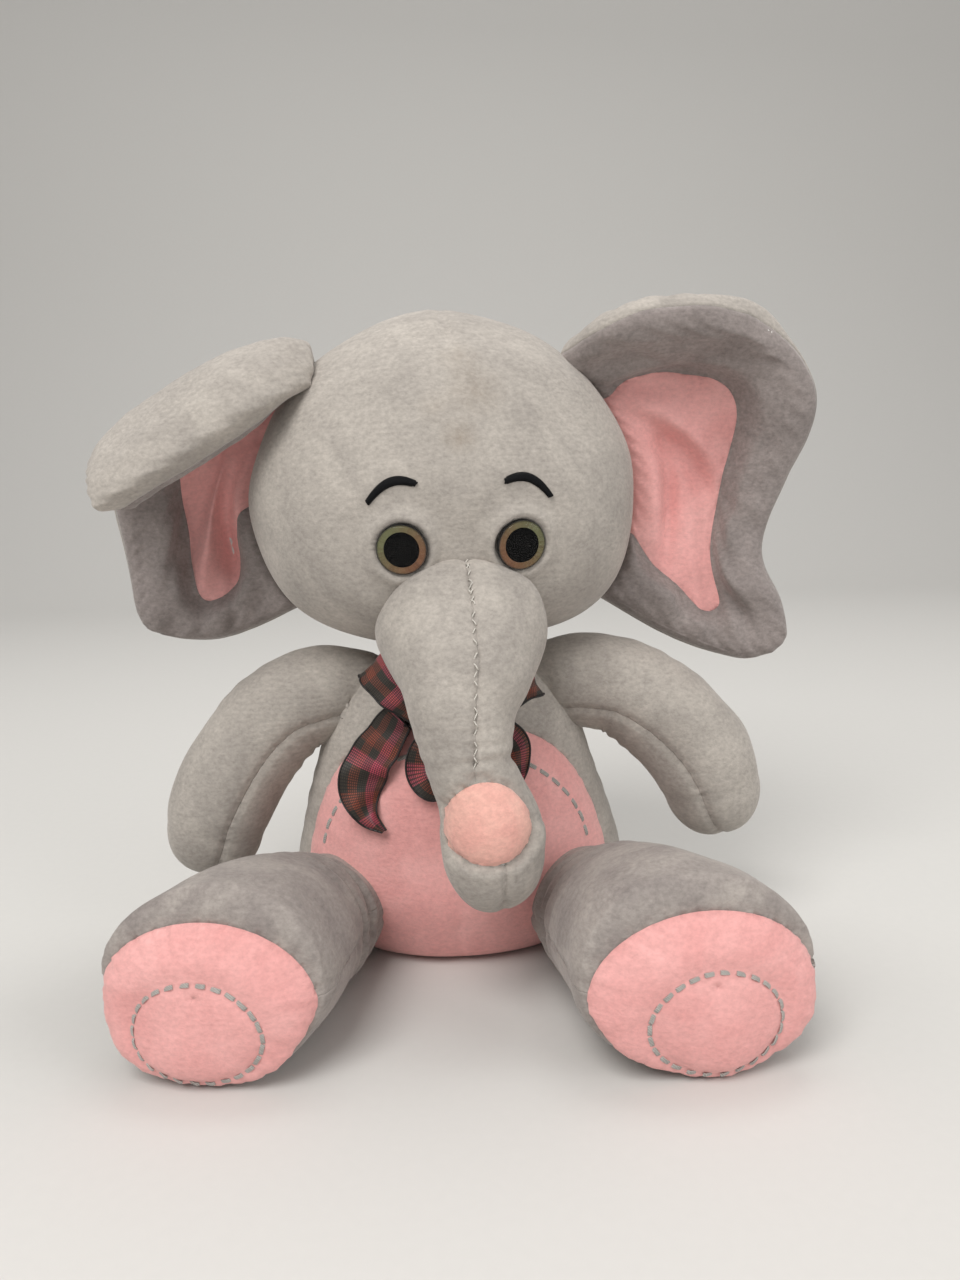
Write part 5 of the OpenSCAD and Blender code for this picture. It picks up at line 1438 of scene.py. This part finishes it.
def strand_group():
    """Twisted thread or yarn: fine slanted lines with a soft shine between them."""
    tree, given, out = new_group(
        "twisted_strand",
        {
            "Base": ("NodeSocketColor", (0.4, 0.4, 0.4, 1)),
            "Lines": ("NodeSocketFloat", 900.0),
            "Contrast": ("NodeSocketFloat", 0.35),
        },
    )
    place = object_place(tree)
    twist = {"Vector": place, "Scale": given.outputs["Lines"], "Distortion": 2.0, "Detail": 1.0}
    slanted = add(tree, "ShaderNodeTexWave", wave_type="BANDS", bands_direction="DIAGONAL", inputs=twist).outputs["Fac"]
    patchy = noise(tree, place, 240.0, 2.0)
    both = maths(tree, "ADD", maths(tree, "MULTIPLY", slanted, 0.6), maths(tree, "MULTIPLY", patchy, 0.6))
    shade = maths(tree, "ADD", maths(tree, "MULTIPLY", maths(tree, "SUBTRACT", both, 0.6), given.outputs["Contrast"]), 1.0)
    grey = grey_of(tree, shade)
    tree.links.new(mixed(tree, 1.0, given.outputs["Base"], grey, "MULTIPLY"), out.inputs["Color"])
    tree.links.new(scaled(tree, slanted, 0.18, 0.36), out.inputs["Roughness"])
    tree.links.new(slanted, out.inputs["Height"])
    return tree


def speck_group():
    """Fine scuffs and dust on moulded plastic."""
    tree, given, out = new_group(
        "moulded_scuffs",
        {
            "Base": ("NodeSocketColor", (0.02, 0.02, 0.02, 1)),
            "Gloss": ("NodeSocketFloat", 0.2),
            "Dust": ("NodeSocketFloat", 0.2),
        },
    )
    place = object_place(tree)
    cloud = noise(tree, place, 320.0, 4.0)
    fine = noise(tree, place, 2600.0, 2.0)
    dusty = maths(tree, "MULTIPLY", ramp(tree, fine, [(0.62, 0.0), (0.75, 1.0)]), given.outputs["Dust"])
    tree.links.new(mixed(tree, dusty, given.outputs["Base"], (0.5, 0.48, 0.45, 1)), out.inputs["Color"])
    tree.links.new(scaled(tree, cloud, 0.14, given.outputs["Gloss"]), out.inputs["Roughness"])
    tree.links.new(cloud, out.inputs["Height"])
    return tree


def new_material(name):
    material = bpy.data.materials.new(name)
    material.use_nodes = True
    tree = material.node_tree
    return material, tree, tree.nodes["Principled BSDF"]


def finish_from(group, name, values, bump, distance, shader=()):
    """A material whose colour, roughness and relief come from a group."""
    material, tree, bsdf = new_material(name)
    node = tree.nodes.new("ShaderNodeGroup")
    node.node_tree = group
    for key, value in values.items():
        node.inputs[key].default_value = value
    relief = add(tree, "ShaderNodeBump", inputs={"Strength": bump, "Distance": distance, "Height": node.outputs["Height"]})
    tree.links.new(node.outputs["Color"], bsdf.inputs["Base Color"])
    tree.links.new(node.outputs["Roughness"], bsdf.inputs["Roughness"])
    tree.links.new(relief.outputs[0], bsdf.inputs["Normal"])
    for key, value in dict(shader).items():
        bsdf.inputs[key].default_value = value
    return material, tree, bsdf, node


PILE_SHADER = {
    "Sheen Weight": 0.28, "Sheen Roughness": 0.45, "Sheen Tint": (1, 0.97, 0.94, 1), "Specular IOR Level": 0.12,
}


def plush(group, name, light, dark, patch, rows, tufts=0.5, bump=0.55):
    values = {"Light": light, "Dark": dark, "Patch Size": patch, "Rows": rows, "Tufts": tufts}
    return finish_from(group, name, values, bump, 0.0007, PILE_SHADER)


def add_smudge(material, tree, bsdf, node):
    """A faint brown mark down the forehead."""
    s = sizes()
    place = object_place(tree)
    total = 0.0
    top = head_bottom()
    for x, share, size, strength in ((0.5, 0.62, 5, 0.5), (7, 0.74, 8, 0.4), (3, 0.83, 6, 0.3), (-7, 0.7, 5, 0.22)):
        spot = turned(head_front(x, top + share * s.head_height), s.turn) * MM
        away = add(tree, "ShaderNodeVectorMath", operation="DISTANCE", inputs={0: place, 1: tuple(spot)}).outputs["Value"]
        near = maths(tree, "SUBTRACT", 1.0, maths(tree, "DIVIDE", away, size * MM * 1.6), True)
        total = scaled(tree, near, strength, total)
    blotch = noise(tree, place, 300.0, 3.0)
    mask = maths(tree, "MULTIPLY", total, blotch, True)
    stained = mixed(tree, mask, node.outputs["Color"], (0.20, 0.135, 0.075, 1))
    tree.links.new(stained, bsdf.inputs["Base Color"])
    return material


def iris_material(side):
    """Printed iris: streaks from the pupil, olive on the outer side and brown on the inner."""
    name = SIDE_NAME[side]
    low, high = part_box(f"{name}_eye_iris")
    centre = (low + high) / 2
    material, tree, bsdf = new_material(f"{name}_iris_print")
    place = object_place(tree)
    rel = add(tree, "ShaderNodeVectorMath", operation="SUBTRACT", inputs={0: place, 1: tuple(centre)}).outputs["Vector"]
    way = add(tree, "ShaderNodeVectorMath", operation="NORMALIZE", inputs={0: rel}).outputs["Vector"]
    away = add(tree, "ShaderNodeVectorMath", operation="LENGTH", inputs={0: rel}).outputs["Value"]
    olive_way = (0.75 if side == LEFT else -0.8, 0.0, 0.6)
    spin = add(tree, "ShaderNodeVectorMath", operation="DOT_PRODUCT", inputs={0: way, 1: olive_way}).outputs["Value"]
    streaks = noise(tree, way, 9.0, 5.0, Roughness=0.7)
    warm = scaled(tree, spin, 0.5, 0.5)
    warm = maths(tree, "ADD", warm, maths(tree, "MULTIPLY", maths(tree, "SUBTRACT", streaks, 0.5), 0.7), True)
    tint = mixed(tree, warm, colour("iris_brown"), colour("iris_olive"))
    lines = scaled(tree, streaks, 1.5, 0.35)
    lines = grey_of(tree, lines)
    tint = mixed(tree, 1.0, tint, lines, "MULTIPLY")
    radius = sizes().eye_size / 2 * MM
    edge = maths(tree, "DIVIDE", maths(tree, "SUBTRACT", away, radius * 0.9), radius * 0.08, True)
    tint = mixed(tree, edge, tint, (0.012, 0.010, 0.008, 1))
    tree.links.new(tint, bsdf.inputs["Base Color"])
    bsdf.inputs["Roughness"].default_value = 0.35
    relief = add(tree, "ShaderNodeBump", inputs={"Strength": 0.15, "Distance": 0.0001, "Height": streaks})
    tree.links.new(relief.outputs[0], bsdf.inputs["Normal"])
    return material


def plaid_material():
    """Sheer plaid ribbon: wide bands both ways, fine dark threads and narrow pink checks."""
    material, tree, bsdf = new_material("plaid_ribbon")
    strip = add(tree, "ShaderNodeUVMap", uv_map="strip").outputs["UV"]
    parts = add(tree, "ShaderNodeSeparateXYZ", inputs={0: strip})
    across, along = parts.outputs[0], parts.outputs[1]
    olive, rust, pink = colour("plaid_olive"), colour("plaid_rust"), colour("plaid_pink")
    warp = ramp(tree, across, [(0.0, olive), (0.2, rust), (0.42, olive), (0.62, pink), (0.84, rust)], "CONSTANT")
    turn = maths(tree, "FRACT", maths(tree, "DIVIDE", along, 0.023))
    weft = ramp(tree, turn, [(0.0, olive), (0.26, rust), (0.5, olive), (0.66, pink), (0.88, olive)], "CONSTANT")
    tint = mixed(tree, 0.5, warp, weft)
    tint = mixed(tree, 0.55, tint, mixed(tree, 1.0, warp, weft, "ADD"))
    lines_along = maths(tree, "FRACT", maths(tree, "DIVIDE", along, 0.00085))
    lines_across = maths(tree, "FRACT", maths(tree, "MULTIPLY", across, 21.0))
    dark_along, dark_across = (maths(tree, "LESS_THAN", lines, 0.4) for lines in (lines_along, lines_across))
    dark = maths(tree, "MAXIMUM", dark_along, dark_across)
    tint = mixed(tree, maths(tree, "MULTIPLY", dark, 0.86), tint, (0.008, 0.006, 0.006, 1))
    tree.links.new(tint, bsdf.inputs["Base Color"])
    threads = maths(tree, "ADD", lines_along, lines_across)
    relief = add(tree, "ShaderNodeBump", inputs={"Strength": 0.35, "Distance": 0.0002, "Height": threads})
    tree.links.new(relief.outputs[0], bsdf.inputs["Normal"])
    tree.links.new(scaled(tree, dark, 0.2, 0.42), bsdf.inputs["Roughness"])
    bsdf.inputs["Sheen Weight"].default_value = 0.15
    return material


def lens_material():
    """Clear plastic, seen by its shine alone."""
    material, tree, bsdf = new_material("eye_lens")
    haze = noise(tree, object_place(tree), 900.0, 3.0)
    tree.links.new(scaled(tree, haze, 0.05, 0.02), bsdf.inputs["Roughness"])
    tree.links.new(scaled(tree, haze, 0.02, 0.08), bsdf.inputs["Alpha"])
    bsdf.inputs["Base Color"].default_value = (0.01, 0.01, 0.01, 1)
    bsdf.inputs["Specular IOR Level"].default_value = 0.5
    return material

def make_finishes():
    """Every material of the toy, by the part that wears it."""
    pile, strand, scuffs = pile_group(), strand_group(), speck_group()
    grey, shade, ear = colour("grey"), colour("grey_shade"), colour("ear_grey")
    dark_ear = tuple(0.76 * c for c in ear[:3]) + (1.0,)
    leg = tuple(0.5 * (a + b) for a, b in zip(grey, ear))
    finishes = {"lens": lens_material()}
    # Light and dark colour, patch size, rows, and where they differ from the usual, tufts and bump
    for part, name, *values in (
        ("grey", "grey_plush", grey, shade, 30.0, 0.45),
        ("face", "face_plush", grey, shade, 34.0, 0.4),
        ("trunk", "trunk_plush", grey, shade, 22.0, 0.3),
        ("leg", "leg_plush", leg, dark_ear, 26.0, 0.25),
        ("ear", "ear_plush", ear, dark_ear, 22.0, 0.3, 0.6),
        ("ear_back", "ear_back_plush", grey, shade, 28.0, 0.35),
        ("pink", "pink_plush", colour("pink"), colour("pink_shade"), 30.0, 0.3, 0.3),
        ("pad", "pad_plush", (0.84, 0.50, 0.42, 1), (0.76, 0.39, 0.34, 1), 14.0, 0.1, 0.35),
        ("fibre", "fibre_fill", (0.82, 0.81, 0.78, 1), (0.66, 0.65, 0.62, 1), 9.0, 0.0, 0.5, 0.9),
    ):
        made = plush(pile, name, *values)
        finishes[part] = add_smudge(*made) if part == "face" else made[0]
    # Colour, lines, contrast, bump, depth of the relief and values of the shader itself
    for part, name, base, lines, contrast, bump, depth, shader in (
        ("thread", "grey_thread", colour("thread"), 700.0, 0.8, 0.4, 0.0002, {"Sheen Weight": 0.2}),
        ("pale_thread", "pale_thread", (0.62, 0.59, 0.54, 1), 700.0, 0.5, 0.4, 0.0002, {}),
        ("brow", "black_thread", (0.006, 0.006, 0.007, 1), 900.0, 0.6, 0.4, 0.0002, {"Specular IOR Level": 0.12}),
        ("yarn", "tuft_yarn", (0.24, 0.22, 0.21, 1), 500.0, 0.6, 0.6, 0.0003, {"Sheen Weight": 0.3}),
        ("ribbon_edge", "ribbon_edge", (0.012, 0.010, 0.010, 1), 900.0, 0.5, 0.3, 0.0002, {}),
    ):
        values = {"Base": base, "Lines": lines, "Contrast": contrast}
        finishes[part] = finish_from(strand, name, values, bump, depth, shader)[0]
    ink = {"Base": (0.003, 0.003, 0.003, 1), "Gloss": 0.5, "Dust": 0.004}
    for part, name, values, depth, shader in (
        ("pupil", "pupil_print", ink, 0.00005, {"Specular IOR Level": 0.05}),
        ("black_plastic", "black_plastic", {"Base": (0.012, 0.012, 0.013, 1), "Gloss": 0.22}, 0.0001, {}),
        ("white_plastic", "white_plastic", {"Base": (0.76, 0.75, 0.72, 1), "Gloss": 0.35}, 0.0001, {}),
    ):
        finishes[part] = finish_from(scuffs, name, values, 0.1, depth, shader)[0]
    finishes["plaid"] = plaid_material()
    for side in (LEFT, RIGHT):
        finishes[f"{SIDE_NAME[side]}_iris"] = iris_material(side)
    return finishes

FINISHES = {}


def finishes():
    """The materials, made once."""
    if not FINISHES:
        FINISHES.update(make_finishes())
    return FINISHES


# ---------- stage ----------


def make_stage():
    """A plain pale floor that curves up into a backdrop, soft lamps and the camera."""
    scene = bpy.context.scene
    scene.view_settings.view_transform = "Standard"
    sweep = [(1.0 + 0.7 * math.sin(a), 0.7 - 0.7 * math.cos(a)) for a in np.linspace(0, math.pi / 2, 24)]
    profile = [(-1.6, 0.0), *sweep, (1.7, 3.2)]
    points = np.array([(x, y, z) for y, z in profile for x in np.linspace(-3.2, 3.2, 9)]) / MM
    material, tree, bsdf = new_material("studio_paper")
    place = object_place(tree)
    tooth = noise(tree, place, 260.0, 4.0)
    base = colour("floor")
    darker = tuple(0.965 * c for c in base[:3]) + (1.0,)
    tree.links.new(mixed(tree, tooth, darker, base), bsdf.inputs["Base Color"])
    relief = add(tree, "ShaderNodeBump", inputs={"Strength": 0.1, "Distance": 0.0003, "Height": tooth})
    tree.links.new(relief.outputs[0], bsdf.inputs["Normal"])
    bsdf.inputs["Roughness"].default_value = 0.85
    floor = make_piece("floor", points, grid_faces(len(profile), 9), material)

    world = bpy.data.worlds.new("studio")
    scene.world = world
    world.use_nodes = True
    background = world.node_tree.nodes["Background"]
    background.inputs["Color"].default_value = (1.0, 0.985, 0.965, 1)
    background.inputs["Strength"].default_value = 0.42

    def lamp(name, place, aim, size, power, tint):
        data = bpy.data.lights.new(name, "AREA")
        data.shape = "RECTANGLE"
        data.size, data.size_y = size
        data.energy = power
        data.color = tint
        item = bpy.data.objects.new(name, data)
        scene.collection.objects.link(item)
        item.location = place
        item.rotation_euler = (Vector(aim) - Vector(place)).to_track_quat("-Z", "Y").to_euler()

    lamp("key_softbox", (-0.45, -0.9, 1.35), (0, 0, 0.12), (0.9, 0.9), 17.0, (1.0, 0.985, 0.96))
    lamp("fill_softbox", (1.2, -0.7, 0.7), (0, 0, 0.12), (0.8, 0.8), 5.0, (1.0, 0.99, 0.98))
    lamp("top_softbox", (0.1, 0.5, 1.5), (0, 0, 0.15), (1.0, 0.7), 7.5, (1.0, 0.99, 0.97))

    camera = bpy.data.cameras.new("camera")
    camera.sensor_fit = "AUTO"
    camera.sensor_width = 36.0
    camera.lens = 27.05625
    camera.clip_start = 0.01
    item = bpy.data.objects.new("camera", camera)
    scene.collection.objects.link(item)
    tilt = Matrix.Rotation(math.radians(80.0), 4, "X")
    roll = Matrix.Rotation(math.radians(-1.8), 4, "Z")
    item.matrix_world = Matrix.Translation((0.012, -0.392, 0.189)) @ tilt @ roll
    scene.camera = item


# ---------- operators, panel and run ----------


def simple_operator(idname, label, doc, *makers):
    """An Operator class that runs its makers in turn."""

    def execute(self, context):
        for maker in makers:
            maker(finishes())
        return {"FINISHED"}

    values = {"bl_idname": "elephant." + idname, "bl_label": label, "__doc__": doc, "execute": execute}
    return type("ELEPHANT_OT_" + idname, (bpy.types.Operator,), {**values, "bl_options": {"REGISTER"}})

def both_sides(maker):
    def make_both(colours):
        for side in (LEFT, RIGHT):
            maker(side, colours)

    return make_both

OPERATORS = [
    simple_operator("stage", "Stage", "Floor, backdrop, lamps and camera", lambda colours: make_stage()),
    simple_operator("torso", "Torso", "Side panels, tummy, seat and stuffing", make_torso),
    simple_operator(
        "tummy_thread", "Tummy and back stitches", "Running stitch on the tummy and ladder stitch on the back",
        make_tummy_stitches, make_back_stitches,
    ),
    simple_operator("head", "Head", "Face, nape, neck and stuffing", make_head),
    simple_operator("eyebrows", "Eyebrows", "Satin stitch eyebrows", make_eyebrows),
    simple_operator("eyes", "Eyes", "Lenses and finishes of the safety eyes", finish_eyes),
    simple_operator("trunk", "Trunk", "Trunk panels, tip pad, seam thread and stuffing", make_trunk),
    simple_operator("ears", "Ears", "Both ears with their wadding", both_sides(make_ear)),
    simple_operator("arms", "Arms", "Both arms with their stuffing", both_sides(make_arm)),
    simple_operator("legs", "Legs", "Both legs, soles, stitches and stuffing", both_sides(make_leg)),
    simple_operator("tail", "Tail", "Tail and its tuft", make_tail),
    simple_operator("ribbon", "Ribbon", "Neck band, knot, loops and tails", make_ribbon),
]

class ELEPHANT_PT_sidebar(bpy.types.Panel):
    """Sizes, colours and makers of the toy."""

    bl_idname = "ELEPHANT_PT_sidebar"
    bl_label = "Stuffed elephant"
    bl_space_type = "VIEW_3D"
    bl_region_type = "UI"
    bl_category = "Elephant"

    def draw(self, context):
        column = self.layout.column()
        for group in (context.scene.elephant_sizes, context.scene.elephant_colours):
            for name in group.__annotations__:
                column.prop(group, name)
        for operator in OPERATORS:
            column.operator(operator.bl_idname)


CLASSES = [ElephantSizes, ElephantColours, *OPERATORS, ELEPHANT_PT_sidebar]


def register():
    for cls in CLASSES:
        bpy.utils.register_class(cls)
    bpy.types.Scene.elephant_sizes = PointerProperty(type=ElephantSizes)
    bpy.types.Scene.elephant_colours = PointerProperty(type=ElephantColours)


def unregister():
    del bpy.types.Scene.elephant_colours
    del bpy.types.Scene.elephant_sizes
    for cls in reversed(CLASSES):
        bpy.utils.unregister_class(cls)


def main():
    register()
    for operator in OPERATORS:
        getattr(bpy.ops.elephant, operator.bl_idname.split(".")[1])()


if __name__ == "__main__":
    main()
